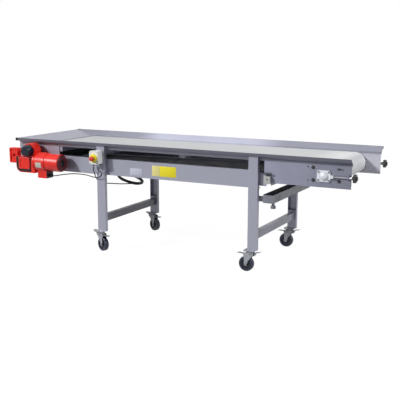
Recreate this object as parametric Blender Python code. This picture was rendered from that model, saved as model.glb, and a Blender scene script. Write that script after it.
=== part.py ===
"""Mobile belt conveyor section: a flat troughed-side belt conveyor on four swivel castors.

X runs along the conveyor from the drive end to the tail end, Y across it, Z up from the floor.
The near side (drive motor, switch box, labels) is at -Y.
"""
import math

import bmesh
import bpy
from mathutils import Matrix, Vector

# ---------------------------------------------------------------- driving dimensions, metres
GAP = 0.0003                 # clearance where two pieces meet
SHEET = 0.0025               # folded stainless sheet
SEGMENTS = 32                # sides of a round piece

LENGTH = 3.142               # side guards, end to end
WIDTH = 0.960                # over the lips of the side guards
BELT_TOP = 0.904             # carrying surface above the floor
GUARD_TOP = 0.960            # top edge of the side guards above the floor

FRAME_INNER = 0.4253         # inner face of the side plates from the centre line
BELT_WIDTH = 0.830
BELT_THICK = 0.002

# side guard section
GUARD_LIP = 0.022            # height of the outer lip
GUARD_FLAT = 0.0055          # flat strip at the top edge
FLARE_LOW = 0.915            # where the guard starts to flare outwards
BEND_CLEAR = 0.0000151       # the apron stays this much above the guard's inner bend

# side plates and beams
PANEL_TOP = 0.914
TAIL_PANEL_LOW = 0.729
TAIL_PANEL_START = 0.869
TAIL_PANEL_END = 1.565
TAIL_BAND = 0.024            # height of the set-out band along the bottom of the tail panel
BAND_STEP = 0.003            # how far that band stands out
DRIVE_PANEL_LOW = 0.690
DRIVE_PANEL_END = -1.119
BEAM_LOW = 0.678
BEAM_HIGH = 0.818
BEAM_FLANGE = 0.030
BEAM_END = 0.829
TONGUE = 0.060               # lap joint from the beam into the end panels
TONGUE_LOW = 0.700
TONGUE_HIGH = 0.806

# slider bed
BED_SHEET = 0.0027
BED_START = -1.325
BED_END = 1.300
RIB_DEEP = 0.045
RIB_WIDE = 0.060
RIB_PLACES = (-1.120,)
STIFFENER_PLACE = 0.070
STIFFENER_SHORT = 0.120

# apron at the drive end
APRON_TOP = 0.9575
APRON_LOW = 0.9083
APRON_END = -1.345
APRON_FLANGE_LOW = 0.790

# legs, braces
LEG_PLACES = (-0.651, 0.789)
LEG_WIDE = 0.080
LEG_DEEP = 0.035
LEG_SHEET = 0.003
LEG_TOP_CLEAR = 0.0007418    # square clearance from the leg's cut top to the guard
FORK_STACK = 0.053           # top of the castor wheel up to the foot of the leg
CLOSING_TOP = 0.345
BRACE_LOW = 0.262
BRACE_HIGH = 0.325
BRACE_WIDE = 0.040
BRACE_WALL = 0.002

# rollers: centre and radius
DRIVE_X = -1.360
DRIVE_RADIUS = 0.040
TAIL_X = 1.353
TAIL_RADIUS = 0.084
TAIL_SLACK = 0.0015          # radial room that lets the tail drum slide in to slacken the belt
DRUM_HALF = 0.410
JOURNAL = 0.0125
DEFLECTOR = (-1.170, 0.7573)
SNUB = (0.846, 0.7342)
ROLLER_RADIUS = 0.030
ROLLER_PIN = 0.010
SHELL = 0.004                # wall of the drums and rollers
END_DISC = 0.010
VENT = 0.003

# tail take-up
TAKE_UP_TRAVEL = 0.012
BEARING_WIDE = 0.105
BEARING_HIGH = 0.088
BEARING_THICK = 0.012
BEARING_DOME = 0.033
DOME_DEEP = 0.021
SCREW_RADIUS = 0.006
SCREW_OFFSET = 0.0175        # screw axis outside the panel face
LUG_THICK = 0.006
LUG_HALF = 0.020
KNOB_START = 1.585
KNOB_RADIUS = 0.035
KNOB_THICK = 0.032

# gear motor
UNIT_OFFSET = 0.515          # centre plane of the gear motor from the centre line
MOTOR_Z = 0.762
GEAR_HALF = 0.045            # half thickness of the gear case
WHEEL_RADIUS = 0.058
WHEEL_HALF = 0.020
CASE_ROUND = 0.0645
CASE_LEFT = -1.510
CASE_RIGHT = -1.300
CASE_LOW = 0.660
CASE_CORNER = 0.055
FLANGE_RADIUS = 0.085
FLANGE_THICK = 0.013
FRAME_RADIUS = 0.0830
FRAME_END = -1.176
COWL_RADIUS = 0.0775
COWL_END = -1.018
COWL_WALL = 0.0025
ROTOR_RADIUS = 0.042
ROTOR_AIR = 0.001
FAN_RADIUS = 0.058
CAP_RADIUS = 0.054
CAP_DEEP = 0.062
ARM_WIDE = 0.094
ARM_LOW = 0.737
ARM_HIGH = 0.873
ARM_HALF = 0.024
ARM_BORE = 0.016
TERMINAL = (-1.265, -1.165)
TERMINAL_LOW = 0.622
TERMINAL_HALF = 0.046
GLAND_LONG = 0.030

# switch box on the near leg at the drive end
BOX_X = (-0.721, -0.630)
BOX_Z = (0.778, 0.895)
BOX_DEEP = 0.0665
STOP_X = -0.6755
STOP_Z = 0.832
COLLAR_RADIUS = 0.036
COLLAR_DEEP = 0.018
BUTTON_RADIUS = 0.020
BUTTON_DEEP = 0.020
BUTTON_STEM = 0.011
BUTTON_TRAVEL = 0.006
ENTRY_X = (-0.702, -0.658)   # the two lead entries under the box
ENTRY_Y = -0.497
ENTRY_LONG = 0.024

# belt scraper and drip trough
SCRAPER = (0.9065, 0.740)
SCRAPER_RADIUS = 0.010
CLAMP_WIDE = 0.050
CLAMP_LOW = 0.724
CLAMP_HIGH = 0.783
CLAMP_DEEP = 0.030
BLADE_THICK = 0.006
BLADE_LOW = 0.704
BLADE_HIGH = 0.7565
LEVER_LONG = 0.075
LEVER_RADIUS = 0.0065
TROUGH_X = (0.862, 0.950)
TROUGH_Z = (0.565, 0.632)
TROUGH_SHEET = 0.002
SPOUT = (0.932, -0.385)
SPOUT_RADIUS = 0.012
SPOUT_LONG = 0.046
SPOUT_COLLAR = 0.021

# castors
WHEEL_R = 0.0625
WHEEL_HALF_WIDE = 0.0175
HUB_HALF_WIDE = 0.0197
CASTOR_SHIFT = -0.022        # swivel axis from the leg's centre, towards the drive end
CASTOR_TRAIL = 0.030
CHEEK_INNER = 0.0202
CHEEK_THICK = 0.003
CASTOR_PLATE = (0.096, 0.080)
CASTOR_PLATE_THICK = 0.0055
SWIVEL_RADIUS = 0.028
CROWN_RADIUS = 0.036
FORK_ROOM = 0.023            # top of the wheel up to the fork's crown
CROWN_DEEP = 0.0095
LEFT_SWIVEL = math.radians(160)   # how far the two drive-end castors stand swivelled
PEDAL_X = -0.012
PEDAL_ROOM = 0.014           # top of the wheel up to the pedal's pin

# cords
CORD = 0.0090
COIL_CENTRE = (-0.450, -0.302, 0.6408)
COIL_RADIUS = 0.108
COIL_BUNDLE = 0.016
COIL_TILT = math.radians(32)
LEAD_TO_COIL = math.radians(125)   # where round the coil the lead meets its underside
PLUG_START = -0.500
PLUG_BODY = -0.538
PLUG_END = -0.598
PLUG_RADIUS = 0.0195

# ---------------------------------------------------------------- derived values
PLATE_OUTER = FRAME_INNER + SHEET                 # outer face of beams and panels
LEG_INNER = PLATE_OUTER + GAP
LEG_OUTER = LEG_INNER + LEG_DEEP
GUARD_INNER = FRAME_INNER - GAP - SHEET           # inner face of the guard's flange
BED_TOP = BELT_TOP - BELT_THICK - GAP
BED_LOW = BED_TOP - BED_SHEET
DRIVE_Z = BELT_TOP - BELT_THICK - GAP - DRIVE_RADIUS
TAIL_Z = BELT_TOP - BELT_THICK - TAIL_SLACK - TAIL_RADIUS
HALF_LENGTH = LENGTH / 2
LIP_INNER = WIDTH / 2 - SHEET
FLARE_TOP = GUARD_TOP - SHEET
FLARE_RISE = (FLARE_TOP - FLARE_LOW) / (LIP_INNER - GUARD_FLAT - FRAME_INNER + GAP)
FLARE_BEND = math.atan(1 / FLARE_RISE)            # how far the flare leans out from upright
FLARE_INNER = FLARE_LOW + SHEET * math.tan(FLARE_BEND / 2) + BEND_CLEAR   # where the guard's inner face starts to flare
WHEEL_TOP = 2 * WHEEL_R
LEG_FOOT = WHEEL_TOP + FORK_STACK
CROWN_Z = (WHEEL_TOP + FORK_ROOM, WHEEL_TOP + FORK_ROOM + CROWN_DEEP)
PEDAL_Z = WHEEL_TOP + PEDAL_ROOM
UNIT_FRONT = UNIT_OFFSET + GEAR_HALF
ARM_LEFT = CASE_LEFT - GAP - ARM_WIDE
KNOB_END = KNOB_START + KNOB_THICK
BUTTON_FACE = LEG_OUTER + GAP + BOX_DEEP + GAP + COLLAR_DEEP + BUTTON_STEM + BUTTON_DEEP
MIDDLE_X = (ARM_LEFT + KNOB_END) / 2              # centre of the whole footprint
MIDDLE_Y = (WIDTH / 2 - UNIT_OFFSET - FLANGE_RADIUS) / 2

NEAR = -1
FAR = 1

STAINLESS = ("stainless", (0.56, 0.57, 0.62), 0.38, 0.85)
BELT_WHITE = ("belt_white", (0.82, 0.83, 0.83), 0.55, 0.0)
DRUM_STEEL = ("drum_steel", (0.50, 0.50, 0.52), 0.45, 0.8)
MOTOR_RED = ("motor_red", (0.80, 0.06, 0.03), 0.40, 0.0)
BLACK_PLASTIC = ("black_plastic", (0.02, 0.02, 0.025), 0.45, 0.0)
WHITE_PLASTIC = ("white_plastic", (0.85, 0.85, 0.83), 0.45, 0.0)
YELLOW_PLASTIC = ("yellow_plastic", (0.90, 0.75, 0.05), 0.45, 0.0)
RED_PLASTIC = ("red_plastic", (0.80, 0.05, 0.04), 0.40, 0.0)
ZINC = ("zinc", (0.58, 0.60, 0.64), 0.42, 0.85)
TYRE = ("tyre", (0.03, 0.05, 0.12), 0.60, 0.0)
CABLE = ("cable", (0.02, 0.02, 0.02), 0.55, 0.0)


# ---------------------------------------------------------------- making meshes
def oriented(bm):
    """bm with its faces pointing outwards."""
    bmesh.ops.recalc_face_normals(bm, faces=bm.faces)
    return bm


def extruded(outline, start, end, axis):
    """A closed outline, given in the other two axes in X, Y, Z order, pushed from start to end along axis."""
    bm = bmesh.new()

    def ring(level):
        rows = [list(pair) for pair in outline]
        for row in rows:
            row.insert(axis, level)
        return [bm.verts.new(row) for row in rows]

    low = ring(start)
    high = ring(end)
    bm.faces.new(low)
    bm.faces.new(high)
    for i in range(len(outline)):
        bm.faces.new((low[i - 1], low[i], high[i], high[i - 1]))
    return oriented(bm)


def block(low, high):
    """A box between two corners."""
    outline = ((low[0], low[1]), (high[0], low[1]), (high[0], high[1]), (low[0], high[1]))
    return extruded(outline, low[2], high[2], 2)


def turned(profile, axis, steps=SEGMENTS):
    """(radius, position) pairs turned about axis; the profile closes on the axis or on itself."""
    bm = bmesh.new()
    rings = []
    for radius, position in profile:
        points = []
        for k in range(steps if radius > 0 else 1):
            angle = 2 * math.pi * k / steps
            point = Vector((0, 0, 0))
            point[axis] = position
            point[(axis + 1) % 3] = radius * math.cos(angle)
            point[(axis + 2) % 3] = radius * math.sin(angle)
            points.append(bm.verts.new(point))
        rings.append(points)
    pairs = list(zip(rings, rings[1:]))
    if all(radius > 0 for radius, _ in profile):
        pairs.append((rings[-1], rings[0]))
    for a, b in pairs:
        for k in range(steps):
            corners = (a[k % len(a)], a[(k + 1) % len(a)], b[(k + 1) % len(b)], b[k % len(b)])
            unique = [v for i, v in enumerate(corners) if v not in corners[:i]]
            bm.faces.new(unique)
    return oriented(bm)


def moved(bm, shift):
    """bm shifted bodily."""
    bmesh.ops.translate(bm, vec=Vector(shift), verts=bm.verts)
    return bm


def folded(points, thickness):
    """Outline of a sheet bent along points, its thickness laid to the left of the path."""
    path = [Vector(p) for p in points]
    normals = []
    for a, b in zip(path, path[1:]):
        run = (b - a).normalized()
        normals.append(Vector((-run.y, run.x)))
    offset = [path[0] + normals[0] * thickness]
    for k in range(1, len(path) - 1):
        mitre = (normals[k - 1] + normals[k]).normalized()
        offset.append(path[k] + mitre * (thickness / mitre.dot(normals[k])))
    offset.append(path[-1] + normals[-1] * thickness)
    return [tuple(p) for p in path + offset[::-1]]


def rounded_box(a, b, radius, corners=(True, True, True, True), steps=6):
    """Rectangle outline from a to b with the chosen corners rounded, in the order
    low-low, high-low, high-high, low-high."""
    centres = (
        (a[0] + radius, a[1] + radius, math.pi),
        (b[0] - radius, a[1] + radius, 1.5 * math.pi),
        (b[0] - radius, b[1] - radius, 0.0),
        (a[0] + radius, b[1] - radius, 0.5 * math.pi),
    )
    sharp = ((a[0], a[1]), (b[0], a[1]), (b[0], b[1]), (a[0], b[1]))
    outline = []
    for (x, y, start), corner, rounded in zip(centres, sharp, corners):
        if not rounded:
            outline.append(corner)
            continue
        for k in range(steps + 1):
            angle = start + 0.5 * math.pi * k / steps
            outline.append((x + radius * math.cos(angle), y + radius * math.sin(angle)))
    return outline


def mirrored(outline, side):
    """An outline whose first coordinate is a distance from the centre line, put on one side."""
    return [(side * y, z) for y, z in outline]


# ---------------------------------------------------------------- objects and materials
def material(finish):
    """The Principled material of a finish, made once."""
    name, colour, roughness, metallic = finish
    found = bpy.data.materials.get(name)
    if found:
        return found
    made = bpy.data.materials.new(name)
    made.use_nodes = True
    shader = made.node_tree.nodes["Principled BSDF"]
    shader.inputs["Base Color"].default_value = (*colour, 1.0)
    shader.inputs["Roughness"].default_value = roughness
    shader.inputs["Metallic"].default_value = metallic
    return made


def node(name, bm, finish, origin=(0, 0, 0), smooth=False):
    """A named sub-part from bm, whose points are measured from origin."""
    mesh = bpy.data.meshes.new(name)
    bm.to_mesh(mesh)
    bm.free()
    if smooth:
        mesh.shade_smooth()
        mesh.set_sharp_from_angle(angle=math.radians(35))
    mesh.materials.append(material(finish))
    made = bpy.data.objects.new(name, mesh)
    bpy.context.scene.collection.objects.link(made)
    made.parent = bpy.data.objects["footprint_centre"]
    made.location = origin
    return made


def shape(target, operation, bm, label):
    """A Boolean on target with a hidden helper whose points are measured from the same origin."""
    mesh = bpy.data.meshes.new(f"{target.name}_{label}")
    bm.to_mesh(mesh)
    bm.free()
    helper = bpy.data.objects.new(mesh.name, mesh)
    bpy.context.scene.collection.objects.link(helper)
    helper.parent = target
    helper.hide_render = True
    helper.display_type = "WIRE"
    step = target.modifiers.new(label, "BOOLEAN")
    step.operation = operation
    step.object = helper
    step.solver = "EXACT"


def add(target, bm, label):
    shape(target, "UNION", bm, label)


def cut(target, bm, label):
    shape(target, "DIFFERENCE", bm, label)


def round_bar(radius, start, end, axis, centre=(0, 0, 0), steps=SEGMENTS):
    """A plain cylinder from start to end along axis, through centre."""
    bar = turned([(0, start), (radius, start), (radius, end), (0, end)], axis, steps)
    shift = [0.0 if i == axis else centre[i] for i in range(3)]
    return moved(bar, shift)


def side_name(side):
    return "near" if side == NEAR else "far"


# ---------------------------------------------------------------- frame
def make_side_guard(side):
    """Folded guard: flange beside the bed, flare outwards, flat top edge, lip turned down."""
    path = (
        (FRAME_INNER - GAP, BED_LOW),
        (FRAME_INNER - GAP, FLARE_LOW),
        (LIP_INNER - GUARD_FLAT, FLARE_TOP),
        (LIP_INNER, FLARE_TOP),
        (LIP_INNER, GUARD_TOP - GUARD_LIP),
    )
    outline = mirrored(folded(path, SHEET), side)
    node(f"side_guard_{side_name(side)}", extruded(outline, -HALF_LENGTH, HALF_LENGTH, 0), STAINLESS)


def make_tail_panel(side):
    """Tail side plate with a set-out band along its bottom, the shaft's slot and the screw's lug."""
    low = TAIL_PANEL_LOW
    band = low + TAIL_BAND
    path = (
        (FRAME_INNER + BAND_STEP, low),
        (FRAME_INNER + BAND_STEP, band),
        (FRAME_INNER, band + BAND_STEP),
        (FRAME_INNER, PANEL_TOP),
    )
    outline = [(y, z) for y, z in folded(path, -SHEET)]
    body = extruded(mirrored(outline, side), TAIL_PANEL_START, TAIL_PANEL_END, 0)
    panel = node(f"tail_panel_{side_name(side)}", body, STAINLESS)
    slot_low = (TAIL_X - TAKE_UP_TRAVEL - 0.020, TAIL_Z - 0.018)
    slot_high = (TAIL_X + 0.020, TAIL_Z + 0.018)
    slot = rounded_box(slot_low, slot_high, 0.017)
    cut(panel, extruded(slot, side * 0.40, side * 0.46, 1), "shaft_slot")
    cut(panel, round_bar(SCRAPER_RADIUS + 0.001, side * 0.40, side * 0.46, 1, (SCRAPER[0], 0, SCRAPER[1])),
        "scraper_hole")
    reach = PLATE_OUTER + SCREW_OFFSET
    lug = rounded_box((FRAME_INNER + 0.001, TAIL_Z - LUG_HALF), (reach + 0.014, TAIL_Z + LUG_HALF), 0.012,
                      (False, True, True, False))
    lug_x = TAIL_PANEL_END - 0.020
    add(panel, extruded(mirrored(lug, side), lug_x, lug_x + LUG_THICK, 0), "screw_lug")
    cut(panel, round_bar(SCREW_RADIUS + GAP, lug_x - 0.01, lug_x + 0.02, 0, (0, side * reach, TAIL_Z)),
        "screw_hole")


def make_drive_panel(side):
    """Plain side plate of the drive station with a hole for the drive shaft."""
    low = (-HALF_LENGTH, side * FRAME_INNER, DRIVE_PANEL_LOW)
    high = (DRIVE_PANEL_END, side * PLATE_OUTER, PANEL_TOP)
    panel = node(f"drive_panel_{side_name(side)}", block(low, high), STAINLESS)
    hole = round_bar(JOURNAL + 0.0075, side * 0.40, side * 0.46, 1, (DRIVE_X, 0, DRIVE_Z))
    cut(panel, hole, "shaft_hole")


def make_side_beam(side):
    """C-section beam, open inwards, with a set-in tongue at each end that laps the end panels."""
    inward = FRAME_INNER - BEAM_FLANGE
    start = DRIVE_PANEL_END + GAP
    path = ((inward, BEAM_HIGH), (PLATE_OUTER, BEAM_HIGH), (PLATE_OUTER, BEAM_LOW), (inward, BEAM_LOW))
    outline = mirrored(folded(path, -SHEET), side)
    beam = node(f"side_beam_{side_name(side)}", extruded(outline, start, BEAM_END, 0), STAINLESS)
    back = GUARD_INNER
    root = FRAME_INNER + 0.001
    face = FRAME_INNER - GAP
    lap = 0.040
    for label, edge, out in (("drive_tongue", start, -1), ("tail_tongue", BEAM_END, 1)):
        tip = edge + out * TONGUE
        outline = [(edge - out * lap, side * back), (tip, side * back), (tip, side * face),
                   (edge - out * 0.002, side * face), (edge - out * 0.010, side * root),
                   (edge - out * lap, side * root)]
        add(beam, extruded(outline, TONGUE_LOW, TONGUE_HIGH, 2), label)


def make_slider_bed():
    """Flat plate that the belt slides on, with box ribs across underneath."""
    half = GUARD_INNER - GAP
    bed = node("slider_bed", block((BED_START, -half, BED_LOW), (BED_END, half, BED_TOP)), STAINLESS)
    for k, x in enumerate(sorted((*RIB_PLACES, STIFFENER_PLACE, *LEG_PLACES))):
        reach = half - STIFFENER_SHORT if x == STIFFENER_PLACE else half
        low = (x - RIB_WIDE / 2, -reach, BED_LOW - RIB_DEEP)
        high = (x + RIB_WIDE / 2, reach, BED_LOW + 0.001)
        add(bed, block(low, high), f"rib_{k + 1}")


def guard_half_width(z):
    """Clear half width between the guards at height z."""
    return GUARD_INNER + max(0.0, z - FLARE_INNER) / FLARE_RISE - GAP


def make_front_apron():
    """Sheet that slopes from the guards' end down to the belt, with an end flange."""
    fall = (APRON_TOP - APRON_LOW) / (APRON_END + HALF_LENGTH)
    bend = FLARE_INNER + SHEET
    stations = ((-HALF_LENGTH, APRON_TOP), (-HALF_LENGTH + (APRON_TOP - bend) / fall, bend), (APRON_END, APRON_LOW))
    bm = bmesh.new()
    rings = []
    for x, z in stations:
        half = guard_half_width(z - SHEET)
        corners = ((x, -half, z), (x, half, z), (x, half, z - SHEET), (x, -half, z - SHEET))
        rings.append([bm.verts.new(corner) for corner in corners])
    for a, b in zip(rings, rings[1:]):
        for k in range(4):
            bm.faces.new((a[k - 1], a[k], b[k], b[k - 1]))
    bm.faces.new(rings[0])
    bm.faces.new(rings[-1])
    apron = node("front_apron", oriented(bm), STAINLESS)
    half = GUARD_INNER - GAP
    flange = block((-HALF_LENGTH, -half, APRON_FLANGE_LOW), (-HALF_LENGTH + SHEET, half, APRON_TOP - 0.0015))
    add(apron, flange, "end_flange")


def make_leg(side, place, name):
    """Channel leg open inwards, closed by a plate at its foot, cut to the guard's slope at its top."""
    half = LEG_WIDE / 2
    path = ((-half, LEG_INNER), (-half, LEG_OUTER), (half, LEG_OUTER), (half, LEG_INNER))
    outline = [(place + x, side * y) for x, y in folded(path, -LEG_SHEET)]
    top = GUARD_TOP
    bm = extruded(outline, LEG_FOOT, top, 2)
    for v in bm.verts:
        if v.co.z > top - 0.001:
            v.co.z = FLARE_LOW + (abs(v.co.y) - FRAME_INNER) * FLARE_RISE - LEG_TOP_CLEAR * math.hypot(1, FLARE_RISE)
    leg = node(name, bm, STAINLESS)
    plate = block((place - half + 0.0005, side * LEG_INNER, LEG_FOOT + 0.001),
                  (place + half - 0.0005, side * (LEG_INNER + LEG_SHEET), CLOSING_TOP))
    add(leg, plate, "closing_plate")
    foot = block((place - half + 0.0005, side * (LEG_INNER + 0.0005), LEG_FOOT),
                 (place + half - 0.0005, side * (LEG_OUTER - 0.0005), LEG_FOOT + 0.005))
    add(leg, foot, "foot_plate")


def make_brace(place, name):
    """Rectangular tube between a pair of legs."""
    reach = LEG_INNER - GAP
    half = BRACE_WIDE / 2
    brace = node(name, block((place - half, -reach, BRACE_LOW), (place + half, reach, BRACE_HIGH)), STAINLESS)
    inner = half - BRACE_WALL
    cut(brace, block((place - inner, -reach - 0.01, BRACE_LOW + BRACE_WALL),
                     (place + inner, reach + 0.01, BRACE_HIGH - BRACE_WALL)), "bore")


# ---------------------------------------------------------------- belt and rollers
def belt_outline(offset):
    """The belt's closed run in X and Z, at offset outside its middle line."""
    middle = BELT_THICK / 2 + GAP
    pulleys = (
        (*DEFLECTOR, ROLLER_RADIUS + middle, 1),
        (*SNUB, ROLLER_RADIUS + middle, -1),
        (TAIL_X, TAIL_Z, TAIL_RADIUS + TAIL_SLACK + BELT_THICK / 2, 1),
        (DRIVE_X, DRIVE_Z, DRIVE_RADIUS + middle, 1),
    )
    headings = []
    for k, (x, z, radius, turn) in enumerate(pulleys):
        to_x, to_z, to_radius, to_turn = pulleys[(k + 1) % len(pulleys)]
        run = math.hypot(to_x - x, to_z - z)
        headings.append(math.atan2(to_z - z, to_x - x) - math.asin((to_turn * to_radius - turn * radius) / run))
    outline = []
    for k, (x, z, radius, turn) in enumerate(pulleys):
        arrive = headings[k - 1]
        sweep = (turn * (headings[k] - arrive)) % (2 * math.pi) * turn
        steps = max(1, math.ceil(abs(sweep) / math.radians(9)))
        reach = radius + turn * offset
        for i in range(steps + 1):
            heading = arrive + sweep * i / steps
            outline.append((x + turn * reach * math.sin(heading), z - turn * reach * math.cos(heading)))
    return outline


def make_belt():
    """Endless flat belt round both drums and the two return rollers."""
    half = BELT_WIDTH / 2
    bm = bmesh.new()
    loops = []
    for offset, y in ((BELT_THICK / 2, -half), (BELT_THICK / 2, half), (-BELT_THICK / 2, half),
                      (-BELT_THICK / 2, -half)):
        loops.append([bm.verts.new((x, y, z)) for x, z in belt_outline(offset)])
    for a, b in zip(loops, loops[1:] + loops[:1]):
        for k in range(len(a)):
            bm.faces.new((a[k - 1], a[k], b[k], b[k - 1]))
    node("belt", oriented(bm), BELT_WHITE, smooth=True)


def hollow_out(drum, radius, pin):
    """Opens up the drum's inside round its shaft, with a vent hole through each end disc."""
    depth = DRUM_HALF - END_DISC
    inner = pin + 0.003
    outer = radius - SHELL
    cavity = turned([(inner, -depth), (outer, -depth), (outer, depth), (inner, depth)], 1, 32)
    cut(drum, cavity, "inside")
    middle = (inner + outer) / 2
    place = (middle * math.cos(0.35), 0, middle * math.sin(0.35))
    for k, end in enumerate((-1, 1)):
        vent = round_bar(VENT, end * (depth - 0.01), end * (DRUM_HALF + 0.01), 1, place, 12)
        cut(drum, vent, f"vent_{k + 1}")


def make_drum(name, place, radius, reach_near, reach_far):
    """Drum shell with a journal at each end, on its own axis."""
    profile = [(0, -reach_near), (JOURNAL, -reach_near), (JOURNAL, -DRUM_HALF), (radius - 0.002, -DRUM_HALF),
               (radius, -DRUM_HALF + 0.002), (radius, DRUM_HALF - 0.002), (radius - 0.002, DRUM_HALF),
               (JOURNAL, DRUM_HALF), (JOURNAL, reach_far), (0, reach_far)]
    drum = node(name, turned(profile, 1, 48), DRUM_STEEL, (place[0], 0, place[1]), smooth=True)
    hollow_out(drum, radius, JOURNAL)


def make_roller(name, place, reach):
    """Return roller with a pin at each end."""
    profile = [(0, -reach), (ROLLER_PIN, -reach), (ROLLER_PIN, -DRUM_HALF), (ROLLER_RADIUS, -DRUM_HALF),
               (ROLLER_RADIUS, DRUM_HALF), (ROLLER_PIN, DRUM_HALF), (ROLLER_PIN, reach), (0, reach)]
    roller = node(name, turned(profile, 1, 32), DRUM_STEEL, (place[0], 0, place[1]), smooth=True)
    hollow_out(roller, ROLLER_RADIUS, ROLLER_PIN)


def make_bearing(name, place, side, lug=False):
    """Flange bearing: square base on the panel, domed cover, blind bore for the journal."""
    face = LEG_INNER
    half = BEARING_WIDE / 2
    high = BEARING_HIGH / 2
    base = rounded_box((-half, -high), (half, high), 0.016)
    body = node(name, extruded(base, side * face, side * (face + BEARING_THICK), 1), ZINC,
                (place[0], 0, place[1]))
    out = face + BEARING_THICK
    dome = [(0, side * (face + 0.002)), (BEARING_DOME, side * (face + 0.002)), (BEARING_DOME, side * (out + 0.008)),
            (BEARING_DOME * 0.86, side * (out + 0.6 * DOME_DEEP)), (BEARING_DOME * 0.5, side * (out + DOME_DEEP)),
            (0, side * (out + DOME_DEEP))]
    add(body, turned(dome, 1), "cover")
    if lug:
        start = half - 0.004
        lug_outline = rounded_box((start, -0.012), (half + 0.025, 0.012), 0.006, (False, True, True, False))
        add(body, extruded(lug_outline, side * (face + 0.001), side * (PLATE_OUTER + SCREW_OFFSET + 0.0095), 1),
            "screw_lug")
        cut(body, round_bar(SCREW_RADIUS + GAP, start + 0.001, half + 0.05, 0,
                            (0, side * (PLATE_OUTER + SCREW_OFFSET), 0)), "screw_bore")
    cut(body, round_bar(JOURNAL + GAP, side * (face - 0.01), side * (out + 0.012), 1), "journal_bore")
    return body


def make_tension_screw(side):
    """Take-up screw with a six-lobed knob, on its own axis."""
    start = TAIL_X + BEARING_WIDE / 2 + 0.003
    lug_x = TAIL_PANEL_END - 0.020
    profile = [(0, start), (SCREW_RADIUS, start), (SCREW_RADIUS, lug_x + LUG_THICK + GAP),
               (0.011, lug_x + LUG_THICK + GAP), (0.011, KNOB_START - 0.012), (0.017, KNOB_START + 0.001),
               (0.017, KNOB_END - 0.002), (0.013, KNOB_END), (0, KNOB_END)]
    centre = (0, side * (PLATE_OUTER + SCREW_OFFSET), TAIL_Z)
    screw = node(f"tension_screw_{side_name(side)}", turned(profile, 0, 24), BLACK_PLASTIC, centre, smooth=True)
    star = []
    for k in range(48):
        angle = 2 * math.pi * k / 48
        reach = KNOB_RADIUS - 0.0045 + 0.0045 * math.cos(6 * angle)
        star.append((reach * math.cos(angle), reach * math.sin(angle)))
    add(screw, extruded(star, KNOB_START, KNOB_END - 0.010, 0), "star")


# ---------------------------------------------------------------- gear motor
def make_gear_case():
    """Cast gear case: round about the output shaft, square about the worm, motor flange at its side."""
    front = -UNIT_FRONT
    back = -(UNIT_OFFSET - GEAR_HALF)
    case = node("gear_case", round_bar(CASE_ROUND, front, back, 1, (DRIVE_X, 0, DRIVE_Z), 40), MOTOR_RED)
    lower = rounded_box((CASE_LEFT, CASE_LOW), (CASE_RIGHT, DRIVE_Z - CAP_RADIUS - 0.002), CASE_CORNER,
                        (True, False, False, False))
    add(case, extruded(lower, front, back, 1), "worm_housing")
    add(case, round_bar(FLANGE_RADIUS, CASE_RIGHT - 0.001, CASE_RIGHT + FLANGE_THICK, 0,
                        (0, -UNIT_OFFSET, MOTOR_Z), 40), "motor_flange")
    add(case, round_bar(0.036, back - 0.005, -LEG_INNER, 1, (DRIVE_X, 0, DRIVE_Z)), "hollow_shaft_boss")
    cut(case, round_bar(WHEEL_RADIUS + 0.0015, -UNIT_OFFSET - WHEEL_HALF - 0.001, -UNIT_OFFSET + WHEEL_HALF + 0.001,
                        1, (DRIVE_X, 0, DRIVE_Z), 40), "wheel_chamber")
    cut(case, round_bar(JOURNAL + GAP, front + 0.006, -0.40, 1, (DRIVE_X, 0, DRIVE_Z)), "shaft_bore")
    cut(case, round_bar(worm_radius() + 0.0015, CASE_LEFT + 0.030, CASE_RIGHT + 0.05, 0,
                        (0, -UNIT_OFFSET, MOTOR_Z), 40), "worm_chamber")


def worm_radius():
    """Pitch radius of the worm that fits the wheel at the unit's centre distance."""
    return DRIVE_Z - MOTOR_Z - WHEEL_RADIUS - 0.0005


def make_worm_wheel():
    """Worm wheel on the hollow shaft, drawn at its pitch radius."""
    half = WHEEL_HALF
    profile = [(JOURNAL + GAP, -half), (WHEEL_RADIUS, -half), (WHEEL_RADIUS, half), (JOURNAL + GAP, half)]
    node("worm_wheel", turned(profile, 1, 40), ZINC, (DRIVE_X, -UNIT_OFFSET, DRIVE_Z), smooth=True)


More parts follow.
